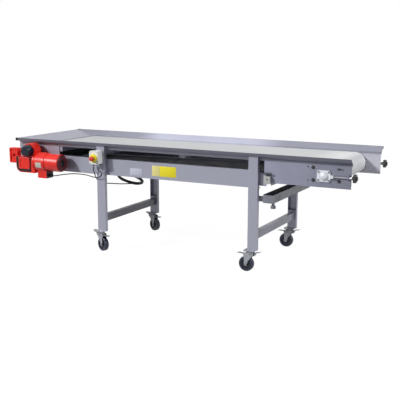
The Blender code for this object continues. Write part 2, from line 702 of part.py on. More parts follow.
def make_motor():
    """Motor frame with its rotor, worm and fan on one shaft, and the fan cowl."""
    start = CASE_RIGHT + FLANGE_THICK + GAP
    centre = (0, -UNIT_OFFSET, MOTOR_Z)
    bore = ROTOR_RADIUS + ROTOR_AIR
    profile = [(bore, start), (FLANGE_RADIUS - 0.004, start), (FLANGE_RADIUS - 0.004, start + 0.010),
               (FRAME_RADIUS, start + 0.016), (FRAME_RADIUS, FRAME_END), (bore, FRAME_END)]
    node("motor_frame", turned(profile, 0, 40), MOTOR_RED, centre, smooth=True)
    cowl_start = FRAME_END + GAP
    inner = COWL_RADIUS - COWL_WALL
    profile = [(inner, cowl_start), (COWL_RADIUS, cowl_start), (COWL_RADIUS, COWL_END - 0.014),
               (COWL_RADIUS - 0.014, COWL_END), (0.030, COWL_END), (0.030, COWL_END - COWL_WALL),
               (COWL_RADIUS - 0.016, COWL_END - COWL_WALL), (inner, COWL_END - 0.016)]
    node("fan_cowl", turned(profile, 0, 40), MOTOR_RED, centre, smooth=True)
    worm = worm_radius()
    shaft = 0.012
    profile = [(0, CASE_LEFT + 0.034), (shaft, CASE_LEFT + 0.034), (shaft, DRIVE_X - 0.045), (worm, DRIVE_X - 0.045),
               (worm, DRIVE_X + 0.045), (shaft, DRIVE_X + 0.045), (shaft, start + 0.012), (ROTOR_RADIUS, start + 0.012),
               (ROTOR_RADIUS, FRAME_END - 0.006), (shaft, FRAME_END - 0.006), (shaft, COWL_END - 0.050),
               (FAN_RADIUS, COWL_END - 0.050), (FAN_RADIUS, COWL_END - 0.032), (shaft, COWL_END - 0.032),
               (shaft, COWL_END - 0.022), (0, COWL_END - 0.022)]
    node("rotor_shaft", turned(profile, 0, 24), ZINC, centre, smooth=True)


def make_shaft_cap():
    """Domed cap over the hollow shaft's end."""
    profile = [(0, 0), (CAP_RADIUS, 0), (CAP_RADIUS, -0.4 * CAP_DEEP), (CAP_RADIUS * 0.93, -0.75 * CAP_DEEP),
               (CAP_RADIUS * 0.7, -CAP_DEEP), (0, -CAP_DEEP)]
    node("shaft_cap", turned(profile, 1), BLACK_PLASTIC, (DRIVE_X, -UNIT_FRONT - GAP, DRIVE_Z), smooth=True)


def make_torque_arm():
    """Square flange block at the gear case's outer side, bored through."""
    right = CASE_LEFT - GAP
    outline = rounded_box((ARM_LEFT, ARM_LOW), (right, ARM_HIGH), 0.006, steps=2)
    arm = node("torque_arm", extruded(outline, -UNIT_OFFSET - ARM_HALF, -UNIT_OFFSET + ARM_HALF, 1), MOTOR_RED)
    centre = ((ARM_LEFT + right) / 2, 0, (ARM_LOW + ARM_HIGH) / 2)
    cut(arm, round_bar(ARM_BORE, -0.60, -0.40, 1, centre, 24), "bore")
    recess = rounded_box((ARM_LEFT + 0.012, ARM_LOW + 0.012), (right - 0.012, ARM_HIGH - 0.012), 0.008, steps=2)
    cut(arm, extruded(recess, -UNIT_OFFSET - ARM_HALF - 0.01, -UNIT_OFFSET - ARM_HALF + 0.008, 1), "recess")


def make_terminal_box():
    """Terminal box hung under the motor frame, saddled to its round, with the lead's gland."""
    left, right = TERMINAL
    front = -UNIT_OFFSET - TERMINAL_HALF
    back = -UNIT_OFFSET + TERMINAL_HALF
    box = node("terminal_box", block((left, front, TERMINAL_LOW), (right, back, MOTOR_Z - 0.050)), MOTOR_RED)
    cut(box, round_bar(FRAME_RADIUS + GAP, left - 0.05, right + 0.05, 0, (0, -UNIT_OFFSET, MOTOR_Z), 40), "saddle")
    add_gland(box, "gland", (right, -UNIT_OFFSET, TERMINAL_LOW + 0.023), 0, GLAND_LONG)


def add_gland(target, label, centre, axis, length, radius=0.0105):
    """Cable gland on target: a body with a narrower nose, rooted in the face at centre."""
    root = -0.002 if length > 0 else 0.002
    profile = [(0, root), (radius, root), (radius, 0.6 * length), (0.7 * radius, length), (0, length)]
    add(target, moved(turned(profile, axis, 12), centre), label)


# ---------------------------------------------------------------- switch box
def make_switch_box():
    """Enclosure on the leg, with the emergency stop's collar and button."""
    back = -(LEG_OUTER + GAP)
    front = back - BOX_DEEP
    outline = rounded_box((BOX_X[0], BOX_Z[0]), (BOX_X[1], BOX_Z[1]), 0.010, steps=4)
    box = node("switch_box", extruded(outline, front, back, 1), WHITE_PLASTIC)
    stem = 0.008
    bore = round_bar(stem + 0.0008, front - 0.01, front + 0.030, 1, (STOP_X, 0, STOP_Z), 24)
    cut(box, bore, "button_bore")
    for k, x in enumerate(ENTRY_X):
        add_gland(box, f"gland_{k + 1}", (x, ENTRY_Y, BOX_Z[0]), 2, -ENTRY_LONG)
    face = front - GAP
    profile = [(stem + 0.0008, face), (COLLAR_RADIUS, face), (COLLAR_RADIUS, face - 0.5 * COLLAR_DEEP),
               (COLLAR_RADIUS * 0.8, face - COLLAR_DEEP), (stem + 0.0008, face - COLLAR_DEEP)]
    collar = turned(profile, 1)
    node("stop_collar", collar, YELLOW_PLASTIC, (STOP_X, 0, STOP_Z), smooth=True)
    head = face - COLLAR_DEEP - BUTTON_STEM
    profile = [(0, front + 0.020), (stem, front + 0.020), (stem, head), (BUTTON_RADIUS, head),
               (BUTTON_RADIUS, head - 0.5 * BUTTON_DEEP), (BUTTON_RADIUS * 0.8, head - 0.88 * BUTTON_DEEP),
               (BUTTON_RADIUS * 0.35, head - BUTTON_DEEP), (0, head - BUTTON_DEEP)]
    node("stop_button", turned(profile, 1, 24), RED_PLASTIC, (STOP_X, 0, STOP_Z), smooth=True)


# ---------------------------------------------------------------- scraper and trough
def make_scraper():
    """Bar across under the return belt with an end clamp and hand lever, and the blade it holds up."""
    x, z = SCRAPER
    inner = PLATE_OUTER + BAND_STEP + 0.004
    outer = inner + CLAMP_DEEP
    middle = -(inner + outer) / 2
    bar = round_bar(SCRAPER_RADIUS, -inner - 0.002, PLATE_OUTER + 0.012, 1, steps=20)
    shaft = node("scraper_shaft", bar, DRUM_STEEL, (x, 0, z), smooth=True)
    half = CLAMP_WIDE / 2
    outline = rounded_box((-half, CLAMP_LOW - z), (half, CLAMP_HIGH - z), 0.006, steps=3)
    add(shaft, extruded(outline, -outer, -inner, 1), "clamp")
    top = CLAMP_HIGH - z
    add(shaft, round_bar(0.006, top - 0.002, top + 0.018, 2, (0, middle, 0), 12), "lever_neck")
    add(shaft, round_bar(LEVER_RADIUS, -0.5 * LEVER_LONG - 0.005, 0.5 * LEVER_LONG - 0.005, 0,
                         (0, middle, top + 0.020), 16), "lever")
    start = SCRAPER_RADIUS + GAP
    blade = block((start, -0.405, BLADE_LOW - z), (start + BLADE_THICK, 0.405, BLADE_HIGH - z))
    node("scraper_blade", blade, WHITE_PLASTIC, (x, 0, z))


def make_trough():
    """Folded drip trough with end plates that reach back to the legs, and a drain spout."""
    left, right = TROUGH_X
    low, high = TROUGH_Z
    reach = PLATE_OUTER
    path = ((left, high), (left, low), (right, low), (right, high))
    outline = folded(path, TROUGH_SHEET)
    trough = node("drip_trough", extruded(outline, -reach + 0.0005, reach - 0.0005, 1), STAINLESS)
    leg_left = LEG_PLACES[1] - LEG_WIDE / 2 + 0.010
    for side in (NEAR, FAR):
        plate = block((left + 0.0005, side * (reach - TROUGH_SHEET), low + 0.0005),
                      (right - 0.0005, side * reach, high - 0.003))
        add(trough, plate, f"end_plate_{side_name(side)}")
        arm = block((leg_left, side * (reach - TROUGH_SHEET), low + 0.010),
                    (left + 0.004, side * reach, high - 0.012))
        add(trough, arm, f"leg_arm_{side_name(side)}")
    x, y = SPOUT
    spout = [(0, low + 0.001), (SPOUT_RADIUS, low + 0.001), (SPOUT_RADIUS, low - 0.5 * SPOUT_LONG),
             (SPOUT_COLLAR, low - 0.55 * SPOUT_LONG), (SPOUT_COLLAR, low - SPOUT_LONG), (0, low - SPOUT_LONG)]
    add(trough, moved(turned(spout, 2, 20), (x, y, 0)), "spout")
    cut(trough, round_bar(SPOUT_RADIUS - 0.002, low - SPOUT_LONG - 0.01, low + 0.01, 2, (x, y, 0), 20), "drain")


# ---------------------------------------------------------------- castors
def make_castor(name, place, side, swivel):
    """Castor under a leg: top plate, swivelling fork, wheel, and a brake pedal that rocks in the fork."""
    place += CASTOR_SHIFT
    y = side * (LEG_INNER + LEG_OUTER) / 2
    top = LEG_FOOT - GAP
    plate_low = top - CASTOR_PLATE_THICK
    half_x = CASTOR_PLATE[0] / 2
    half_y = CASTOR_PLATE[1] / 2
    plate = extruded(rounded_box((-half_x, -half_y), (half_x, half_y), 0.010, steps=2), plate_low, top, 2)
    head = node(f"{name}_plate", plate, ZINC, (place, y, 0))
    add(head, round_bar(SWIVEL_RADIUS, CROWN_Z[1] + GAP, plate_low + 0.001, 2, steps=24), "swivel_head")

    turn = Matrix.Rotation(swivel, 3, "Z")

    def swivelled(bm):
        bmesh.ops.rotate(bm, cent=(0, 0, 0), matrix=turn, verts=bm.verts)
        return bm

    fork = node(f"{name}_fork", swivelled(round_bar(CROWN_RADIUS, CROWN_Z[0], CROWN_Z[1], 2, steps=24)), ZINC,
                (place, y, 0))
    cheek = [(0.034, CROWN_Z[1] - 0.001), (-0.048, CROWN_Z[1] - 0.001), (-0.051, WHEEL_TOP + 0.013), (-0.044, WHEEL_TOP - 0.025)]
    tip = 0.013
    for k in range(7):
        angle = math.pi + math.pi * k / 6
        cheek.append((-CASTOR_TRAIL + tip * math.cos(angle), WHEEL_R - 0.004 + tip * math.sin(angle)))
    cheek += [(-0.012, WHEEL_TOP - 0.040), (0.034, WHEEL_TOP + 0.018)]
    for label, sign in (("cheek_left", -1), ("cheek_right", 1)):
        add(fork, swivelled(extruded(cheek, sign * CHEEK_INNER, sign * (CHEEK_INNER + CHEEK_THICK), 1)), label)
    axle_half = CHEEK_INNER + 0.008
    add(fork, swivelled(round_bar(0.006, -axle_half, axle_half, 1, (-CASTOR_TRAIL, 0, WHEEL_R), 12)), "axle")

    centre = turn @ Vector((-CASTOR_TRAIL, 0, WHEEL_R))
    bore = 0.006 + GAP
    wide = WHEEL_HALF_WIDE
    profile = [(bore, -HUB_HALF_WIDE), (0.012, -HUB_HALF_WIDE), (0.014, -0.6 * wide), (0.040, -0.6 * wide),
               (0.042, -wide), (WHEEL_R - 0.005, -wide), (WHEEL_R, -0.6 * wide), (WHEEL_R, 0.6 * wide),
               (WHEEL_R - 0.005, wide), (0.042, wide), (0.040, 0.6 * wide), (0.014, 0.6 * wide),
               (0.012, HUB_HALF_WIDE), (bore, HUB_HALF_WIDE)]
    node(f"{name}_wheel", swivelled(turned(profile, 1, 32)), TYRE, (place + centre.x, y + centre.y, centre.z),
         smooth=True)

    pivot = turn @ Vector((PEDAL_X, 0, PEDAL_Z))
    path = ((0.105, 0.033), (0.098, 0.027), (0.063, 0.0235), (0.052, -0.004), (-0.030, -0.004),
            (-0.042, 0.006), (-0.090, 0.009), (-0.099, 0.004))
    pedal = node(f"{name}_pedal", swivelled(extruded(folded(path, 0.003), -0.017, 0.017, 1)), ZINC,
                 (place + pivot.x, y + pivot.y, pivot.z))
    pin_half = CHEEK_INNER - GAP
    add(pedal, swivelled(round_bar(0.005, -pin_half, pin_half, 1, steps=12)), "pin")


# ---------------------------------------------------------------- cords
def smooth_route(points, spacing):
    """Points about spacing apart on a smooth curve through the route's own points."""
    knots = [Vector(p) for p in points]
    knots = [2 * knots[0] - knots[1]] + knots + [2 * knots[-1] - knots[-2]]
    fine = []
    for a, b, c, d in zip(knots, knots[1:], knots[2:], knots[3:]):
        for k in range(24):
            t = k / 24
            fine.append(0.5 * (2 * b + (c - a) * t + (2 * a - 5 * b + 4 * c - d) * t * t
                               + (3 * b - a - 3 * c + d) * t * t * t))
    fine.append(knots[-2])
    lengths = [0.0]
    for a, b in zip(fine, fine[1:]):
        lengths.append(lengths[-1] + (b - a).length)
    count = max(2, round(lengths[-1] / spacing))
    route = []
    k = 0
    for i in range(count + 1):
        at = lengths[-1] * i / count
        while k < len(fine) - 2 and lengths[k + 1] < at:
            k += 1
        share = (at - lengths[k]) / max(lengths[k + 1] - lengths[k], 1e-9)
        route.append(fine[k].lerp(fine[k + 1], share))
    return route


def make_cord(name, points):
    """A plain tube along a free route."""
    route = smooth_route(points, 2.0 * CORD)
    curve = bpy.data.curves.new(name, "CURVE")
    curve.dimensions = "3D"
    curve.bevel_depth = CORD / 2
    curve.bevel_resolution = 2
    curve.use_fill_caps = True
    spline = curve.splines.new("POLY")
    spline.points.add(len(route) - 1)
    for point, place in zip(spline.points, route):
        point.co = (*place, 1.0)
    curve.materials.append(material(CABLE))
    made = bpy.data.objects.new(name, curve)
    bpy.context.scene.collection.objects.link(made)
    made.parent = bpy.data.objects["footprint_centre"]


def coil_point(angle, reach):
    """A point in the coil's plane, reach from its centre."""
    flat = Vector((reach * math.cos(angle), reach * math.sin(angle), 0))
    return Vector(COIL_CENTRE) + Matrix.Rotation(-COIL_TILT, 3, "X") @ flat


def make_motor_lead():
    """Lead from the motor's terminal box, along the beam's lower edge, to the switch box."""
    y = -UNIT_OFFSET
    start = TERMINAL[1] + GLAND_LONG + GAP
    end_x = ENTRY_X[1]
    end_z = BOX_Z[0] - ENTRY_LONG - GAP
    z = TERMINAL_LOW + 0.023
    make_cord("motor_lead", (
        (start, y, z), (start + 0.030, y + 0.002, z + 0.001), (-1.030, y + 0.030, 0.659), (-0.930, y + 0.049, 0.670),
        (-0.810, y + 0.046, 0.670), (-0.740, y + 0.032, 0.663), (-0.692, y + 0.026, 0.659),
        (-0.652, y + 0.024, 0.662), (-0.622, y + 0.022, 0.684), (-0.624, y + 0.019, 0.711),
        (end_x + 0.012, ENTRY_Y, end_z - 0.034), (end_x, ENTRY_Y, end_z - 0.020), (end_x, ENTRY_Y, end_z),
    ))


def make_supply_lead():
    """Supply lead from the switch box round the leg to the coil hung on the beam's lower flange."""
    x = ENTRY_X[0]
    z = BOX_Z[0] - ENTRY_LONG - GAP
    make_cord("supply_lead", (
        (x, ENTRY_Y, z), (x, ENTRY_Y, z - 0.020), (x - 0.001, -0.490, 0.710), (x - 0.002, -0.476, 0.682),
        (x - 0.002, -0.460, 0.655), (x, -0.442, 0.631), (x + 0.004, -0.415, 0.609), (x + 0.035, -0.388, 0.596),
        (-0.602, -0.335, 0.589), (-0.560, -0.275, 0.580),
        coil_point(LEAD_TO_COIL, COIL_RADIUS) - Vector((0, 0, COIL_BUNDLE + CORD / 2 + 2 * GAP)),
    ))


def make_coil():
    """Outer shape of the coiled supply lead: a ring that leans on the beam's lower flange."""
    ring = []
    for k in range(10):
        angle = 2 * math.pi * k / 10
        ring.append((COIL_RADIUS + COIL_BUNDLE * math.cos(angle), COIL_BUNDLE * math.sin(angle)))
    bm = turned(ring, 2, 32)
    bmesh.ops.rotate(bm, cent=(0, 0, 0), matrix=Matrix.Rotation(-COIL_TILT, 3, "X"), verts=bm.verts)
    node("supply_coil", bm, CABLE, COIL_CENTRE, smooth=True)


def make_supply_plug():
    """Round mains plug with pins inside its shroud, lying on the beam's lower flange."""
    centre = (0, -FRAME_INNER + PLUG_RADIUS + GAP, BEAM_LOW + SHEET + PLUG_RADIUS + GAP)
    floor = PLUG_END + 0.030
    profile = [(0, PLUG_START), (0.0065, PLUG_START), (0.0085, PLUG_BODY + 0.006), (0.016, PLUG_BODY),
               (PLUG_RADIUS, PLUG_BODY - 0.008), (PLUG_RADIUS, PLUG_END), (PLUG_RADIUS - 0.003, PLUG_END),
               (PLUG_RADIUS - 0.003, floor), (0, floor)]
    plug = node("supply_plug", turned(profile, 0, 24), BLACK_PLASTIC, centre, smooth=True)
    for k in range(3):
        angle = 2 * math.pi * k / 3
        place = (0, 0.009 * math.cos(angle), 0.009 * math.sin(angle))
        add(plug, round_bar(0.0025, floor + 0.002, PLUG_END + 0.006, 0, place, 10), f"pin_{k + 1}")


def main():
    for old in list(bpy.data.objects):
        bpy.data.objects.remove(old, do_unlink=True)
    centre = bpy.data.objects.new("footprint_centre", None)
    centre.location = (-MIDDLE_X, -MIDDLE_Y, 0)
    bpy.context.scene.collection.objects.link(centre)

    for side in (NEAR, FAR):
        make_side_guard(side)
        make_tail_panel(side)
        make_drive_panel(side)
        make_side_beam(side)
        make_tension_screw(side)
        make_bearing(f"tail_bearing_{side_name(side)}", (TAIL_X, TAIL_Z), side, lug=True)
    for end, place in zip(("drive", "tail"), LEG_PLACES):
        make_brace(place, f"brace_{end}")
        for side in (NEAR, FAR):
            label = f"{end}_{side_name(side)}"
            make_leg(side, place, f"leg_{label}")
            make_castor(f"castor_{label}", place, side, LEFT_SWIVEL if end == "drive" else 0.0)
    make_slider_bed()
    make_front_apron()

    make_belt()
    make_drum("drive_drum", (DRIVE_X, DRIVE_Z), DRIVE_RADIUS, UNIT_OFFSET + WHEEL_HALF + 0.010, PLATE_OUTER + 0.022)
    make_drum("tail_drum", (TAIL_X, TAIL_Z), TAIL_RADIUS, PLATE_OUTER + 0.022, PLATE_OUTER + 0.022)
    make_bearing("drive_bearing_far", (DRIVE_X, DRIVE_Z), FAR)
    make_roller("deflector_roller", DEFLECTOR, GUARD_INNER - GAP)
    make_roller("snub_roller", SNUB, GUARD_INNER - GAP)

    make_gear_case()
    make_worm_wheel()
    make_motor()
    make_shaft_cap()
    make_torque_arm()
    make_terminal_box()
    make_switch_box()
    make_scraper()
    make_trough()
    make_motor_lead()
    make_supply_lead()
    make_coil()
    make_supply_plug()


if __name__ == "__main__":
    main()
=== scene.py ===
"""Mobile belt conveyor section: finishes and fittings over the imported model."""
import math

import bmesh
import bpy
from mathutils import Matrix, Vector


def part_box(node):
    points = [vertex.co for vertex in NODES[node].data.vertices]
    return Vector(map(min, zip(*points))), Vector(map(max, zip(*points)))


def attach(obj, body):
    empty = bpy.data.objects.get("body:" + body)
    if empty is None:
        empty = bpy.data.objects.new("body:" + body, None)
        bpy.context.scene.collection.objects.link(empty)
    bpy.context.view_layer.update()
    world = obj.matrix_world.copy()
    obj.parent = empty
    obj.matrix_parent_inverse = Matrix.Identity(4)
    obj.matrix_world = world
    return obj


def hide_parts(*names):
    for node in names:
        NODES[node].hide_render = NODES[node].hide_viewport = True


bl_info = {
    "name": "Belt Conveyor Section",
    "version": (1, 0, 0),
    "blender": (4, 5, 0),
    "location": "View3D > Sidebar > Conveyor",
    "description": "Dresses a mobile belt conveyor section with its finishes, fittings and studio",
    "category": "Object",
}

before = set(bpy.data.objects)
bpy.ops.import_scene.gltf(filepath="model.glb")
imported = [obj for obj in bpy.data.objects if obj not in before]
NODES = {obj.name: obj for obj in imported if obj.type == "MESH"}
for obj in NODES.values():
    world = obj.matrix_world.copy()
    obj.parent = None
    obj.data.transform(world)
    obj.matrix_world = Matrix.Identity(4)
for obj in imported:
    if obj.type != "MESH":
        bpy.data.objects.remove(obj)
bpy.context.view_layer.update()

GUARD_LOW, GUARD_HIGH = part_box("side_guard_near")
FAR_LOW, FAR_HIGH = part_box("side_guard_far")
MIDDLE = Vector(((GUARD_LOW.x + GUARD_HIGH.x) / 2, (GUARD_LOW.y + FAR_HIGH.y) / 2, 0.0))
PANEL_LOW, PANEL_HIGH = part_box("drive_panel_near")
PLATE_FACE = MIDDLE.y - PANEL_LOW.y               # outer face of the side plates from the middle

NEAR = -1
FAR = 1
AXES = {"X": Vector((1, 0, 0)), "Y": Vector((0, 1, 0)), "Z": Vector((0, 0, 1))}


def at(x, y, z):
    """A place measured from the middle of the guards, as a point in the model's frame."""
    return MIDDLE + Vector((x, y, z))


# ------------------------------------------------------------------ sizes and colours
class ConveyorSizes(bpy.types.PropertyGroup):
    """Sizes of the fittings."""

    cord_diameter: bpy.props.FloatProperty(
        name="Cord diameter", description="Thickness of the supply cord", default=0.009, unit="LENGTH")
    coil_turns: bpy.props.IntProperty(
        name="Coil turns", description="Turns of supply cord in the coil", default=7, min=3, max=7)
    bolt_radius: bpy.props.FloatProperty(
        name="Bolt head radius", description="Corner radius of the panel bolts' heads", default=0.0115,
        unit="LENGTH")
    edge_round: bpy.props.FloatProperty(
        name="Edge rounding", description="Rounding on the edges of sheet metal", default=0.0006, unit="LENGTH")
    label_thickness: bpy.props.FloatProperty(
        name="Label thickness", description="Thickness of the stuck-on blank labels", default=0.0006,
        unit="LENGTH")


class ConveyorColours(bpy.types.PropertyGroup):
    """Colours of the finishes."""

    stainless: bpy.props.FloatVectorProperty(
        name="Stainless", description="Brushed stainless sheet", default=(0.375, 0.38, 0.465), size=3,
        subtype="COLOR", min=0, max=1)
    belt: bpy.props.FloatVectorProperty(
        name="Belt", description="Coated belt", default=(0.69, 0.70, 0.715), size=3, subtype="COLOR", min=0, max=1)
    motor: bpy.props.FloatVectorProperty(
        name="Motor", description="Paint of the gear motor", default=(0.93, 0.030, 0.018), size=3, subtype="COLOR",
        min=0, max=1)
    tyre: bpy.props.FloatVectorProperty(
        name="Tyre", description="Castor tyres", default=(0.008, 0.014, 0.040), size=3, subtype="COLOR", min=0,
        max=1)
    yellow: bpy.props.FloatVectorProperty(
        name="Yellow", description="Stop collar and label", default=(0.93, 0.80, 0.03), size=3, subtype="COLOR",
        min=0, max=1)


# ------------------------------------------------------------------ shader node groups
def new_group(name, inputs, outputs):
    """An empty shader node group with its sockets: (name, socket type, default) in, (name, type) out."""
    group = bpy.data.node_groups.new(name, "ShaderNodeTree")
    for label, kind, default in inputs:
        socket = group.interface.new_socket(name=label, in_out="INPUT", socket_type=kind)
        if default is not None:
            socket.default_value = default
    for label, kind in outputs:
        group.interface.new_socket(name=label, in_out="OUTPUT", socket_type=kind)
    return group, group.nodes.new("NodeGroupInput"), group.nodes.new("NodeGroupOutput")


def build_groups():
    """The effects that several finishes share."""
    number = "NodeSocketFloat"
    colour = "NodeSocketColor"
    vector = "NodeSocketVector"

    group, start, end = new_group(
        "Drawn grain", [("Place", vector, None), ("Stretch", vector, (8, 300, 300)), ("Depth", number, 0.5)],
        [("Mask", number), ("Height", number)])
    mapping = group.nodes.new("ShaderNodeMapping")
    lines = group.nodes.new("ShaderNodeTexNoise")
    lines.inputs["Scale"].default_value = 1.0
    lines.inputs["Detail"].default_value = 3.0
    scaled = group.nodes.new("ShaderNodeMath")
    scaled.operation = "MULTIPLY"
    group.links.new(start.outputs["Place"], mapping.inputs["Vector"])
    group.links.new(start.outputs["Stretch"], mapping.inputs["Scale"])
    group.links.new(mapping.outputs["Vector"], lines.inputs["Vector"])
    group.links.new(lines.outputs["Fac"], scaled.inputs[0])
    group.links.new(start.outputs["Depth"], scaled.inputs[1])
    group.links.new(lines.outputs["Fac"], end.inputs["Mask"])
    group.links.new(scaled.outputs[0], end.inputs["Height"])

    group, start, end = new_group(
        "Tone drift", [("Place", vector, None), ("Colour", colour, (0.5, 0.5, 0.5, 1)), ("Scale", number, 3.0),
                       ("Amount", number, 0.15)],
        [("Colour", colour), ("Mask", number)])
    cloud = group.nodes.new("ShaderNodeTexNoise")
    cloud.inputs["Detail"].default_value = 4.0
    spread = group.nodes.new("ShaderNodeMapRange")
    spread.inputs["From Min"].default_value = 0.3
    spread.inputs["From Max"].default_value = 0.7
    darker = group.nodes.new("ShaderNodeMath")
    darker.operation = "MULTIPLY"
    mix = group.nodes.new("ShaderNodeMix")
    mix.data_type = "RGBA"
    mix.blend_type = "MULTIPLY"
    mix.inputs[7].default_value = (0.45, 0.45, 0.47, 1)
    group.links.new(start.outputs["Place"], cloud.inputs["Vector"])
    group.links.new(start.outputs["Scale"], cloud.inputs["Scale"])
    group.links.new(cloud.outputs["Fac"], spread.inputs["Value"])
    group.links.new(spread.outputs["Result"], darker.inputs[0])
    group.links.new(start.outputs["Amount"], darker.inputs[1])
    group.links.new(darker.outputs[0], mix.inputs[0])
    group.links.new(start.outputs["Colour"], mix.inputs[6])
    group.links.new(mix.outputs[2], end.inputs["Colour"])
    group.links.new(spread.outputs["Result"], end.inputs["Mask"])

    group, start, end = new_group(
        "Smudges", [("Place", vector, None), ("Scale", number, 14.0), ("Low", number, 0.3), ("High", number, 0.45)],
        [("Roughness", number)])
    marks = group.nodes.new("ShaderNodeTexNoise")
    marks.inputs["Detail"].default_value = 5.0
    marks.inputs["Roughness"].default_value = 0.62
    spread = group.nodes.new("ShaderNodeMapRange")
    spread.inputs["From Min"].default_value = 0.38
    spread.inputs["From Max"].default_value = 0.66
    group.links.new(start.outputs["Place"], marks.inputs["Vector"])
    group.links.new(start.outputs["Scale"], marks.inputs["Scale"])
    group.links.new(marks.outputs["Fac"], spread.inputs["Value"])
    group.links.new(start.outputs["Low"], spread.inputs["To Min"])
    group.links.new(start.outputs["High"], spread.inputs["To Max"])
    group.links.new(spread.outputs["Result"], end.inputs["Roughness"])

    group, start, end = new_group(
        "Zone", [("Place", vector, None), ("Direction", vector, (1, 0, 0)), ("Edge", number, 0.0)],
        [("Mask", number)])
    along = group.nodes.new("ShaderNodeVectorMath")
    along.operation = "DOT_PRODUCT"
    beyond = group.nodes.new("ShaderNodeMath")
    beyond.operation = "GREATER_THAN"
    group.links.new(start.outputs["Place"], along.inputs[0])
    group.links.new(start.outputs["Direction"], along.inputs[1])
    group.links.new(along.outputs["Value"], beyond.inputs[0])
    group.links.new(start.outputs["Edge"], beyond.inputs[1])
    group.links.new(beyond.outputs[0], end.inputs["Mask"])


def place_group(tree, name, **values):
    """A shared effect set into a material with its own values."""
    node = tree.nodes.new("ShaderNodeGroup")
    node.node_tree = bpy.data.node_groups[name]
    for key, value in values.items():
        node.inputs[key].default_value = value
    return node


def mixed(tree, mask, first, second, colour=False):
    """A Mix node from first to second, each a value or a socket."""
    mix = tree.nodes.new("ShaderNodeMix")
    mix.data_type = "RGBA" if colour else "FLOAT"
    a, b, out = (6, 7, 2) if colour else (2, 3, 0)
    tree.links.new(mask, mix.inputs[0])
    for index, value in ((a, first), (b, second)):
        if isinstance(value, bpy.types.NodeSocket):
            tree.links.new(value, mix.inputs[index])
        else:
            mix.inputs[index].default_value = value
    return mix.outputs[out]


def finish(name, colour, roughness=(0.35, 0.5), metallic=0.0, stretch=(40, 40, 40), depth=0.3, bump=0.1,
           distance=0.0004, drift=(3.0, 0.2), zone=None, coat=0.0, sheen=0.5,
           ramp=None):
    """A procedural finish: drifting tone, smudged gloss and a fine surface grain.

    zone is (direction, edge, colour, roughness, metallic) of what lies beyond a plane.
    ramp is a row of (x, brightness) along the length, painted light and shade, between which the brightness changes
    evenly."""
    found = bpy.data.materials.get(name)
    if found:
        return found
    made = bpy.data.materials.new(name)
    made.use_nodes = True
    tree = made.node_tree
    shader = tree.nodes["Principled BSDF"]
    place = tree.nodes.new("ShaderNodeTexCoord").outputs["Object"]
    tone = place_group(tree, "Tone drift", Colour=(*colour, 1), Scale=drift[0], Amount=drift[1])
    marks = place_group(tree, "Smudges", Low=roughness[0], High=roughness[1])
    grain = place_group(tree, "Drawn grain", Stretch=stretch, Depth=depth)
    for group in (tone, marks, grain):
        tree.links.new(place, group.inputs["Place"])
    base = tone.outputs["Colour"]
    gloss = marks.outputs["Roughness"]
    if ramp:
        split = tree.nodes.new("ShaderNodeSeparateXYZ")
        tree.links.new(place, split.inputs[0])
        start, span = ramp[0][0], ramp[-1][0] - ramp[0][0]
        along = tree.nodes.new("ShaderNodeMapRange")
        along.inputs["From Min"].default_value = start
        along.inputs["From Max"].default_value = start + span
        tree.links.new(split.outputs["X"], along.inputs["Value"])
        shades = tree.nodes.new("ShaderNodeValToRGB")
        shades.color_ramp.interpolation = "EASE"
        while len(shades.color_ramp.elements) < len(ramp):
            shades.color_ramp.elements.new(0.5)
        for stop, (x, level) in zip(shades.color_ramp.elements, ramp):
            stop.position = (x - start) / span
            stop.color = (level, level, level, 1)
        tree.links.new(along.outputs["Result"], shades.inputs["Fac"])
        shaded = tree.nodes.new("ShaderNodeMix")
        shaded.data_type = "RGBA"
        shaded.blend_type = "MULTIPLY"
        shaded.inputs[0].default_value = 1.0
        tree.links.new(base, shaded.inputs[6])
        tree.links.new(shades.outputs["Color"], shaded.inputs[7])
        base = shaded.outputs[2]
    shader.inputs["Metallic"].default_value = metallic
    shader.inputs["Specular IOR Level"].default_value = sheen
    if zone:
        direction, edge, zone_colour, zone_rough, zone_metal = zone
        split = place_group(tree, "Zone", Direction=direction, Edge=edge)
        tree.links.new(place, split.inputs["Place"])
        mask = split.outputs["Mask"]
        other = place_group(tree, "Tone drift", Colour=(*zone_colour, 1), Scale=30.0, Amount=0.12)
        tree.links.new(place, other.inputs["Place"])
        base = mixed(tree, mask, base, other.outputs["Colour"], colour=True)
        gloss = mixed(tree, mask, gloss, zone_rough)
        if abs(zone_metal - metallic) > 0.01:
            tree.links.new(mixed(tree, mask, metallic, zone_metal), shader.inputs["Metallic"])
    tree.links.new(base, shader.inputs["Base Color"])
    tree.links.new(gloss, shader.inputs["Roughness"])
    if coat:
        shader.inputs["Coat Weight"].default_value = coat
    relief = tree.nodes.new("ShaderNodeBump")
    relief.inputs["Strength"].default_value = bump
    relief.inputs["Distance"].default_value = distance
    tree.links.new(grain.outputs["Height"], relief.inputs["Height"])
    tree.links.new(relief.outputs["Normal"], shader.inputs["Normal"])
    return made


METAL = 0.20
SATIN = (0.30, 0.44)          # roughness of clean sheet
WORN = (0.34, 0.48)           # roughness of handled sheet
GRAIN = {"X": (6, 260, 260), "Y": (260, 6, 260), "Z": (260, 260, 6)}


def sheet_metal(name, colour, along="X", roughness=SATIN, drift=(2.2, 0.16), **more):
    """Stainless sheet, its grain drawn along an axis."""
    return finish(name, colour, roughness, METAL, GRAIN[along], 0.5, 0.16, 0.0003, drift, **more)


def brushed(along):
    """The plain stainless of most of the frame."""
    return sheet_metal(f"stainless_{along.lower()}", tuple(bpy.context.scene.conveyor_colours.stainless), along)


def plastic(name, colour, roughness=(0.34, 0.46), sheen=0.3, **more):
    return finish(name, colour, roughness, 0.0, (900, 900, 900), 0.4, 0.12, 0.0002, (6.0, 0.10), sheen=sheen, **more)


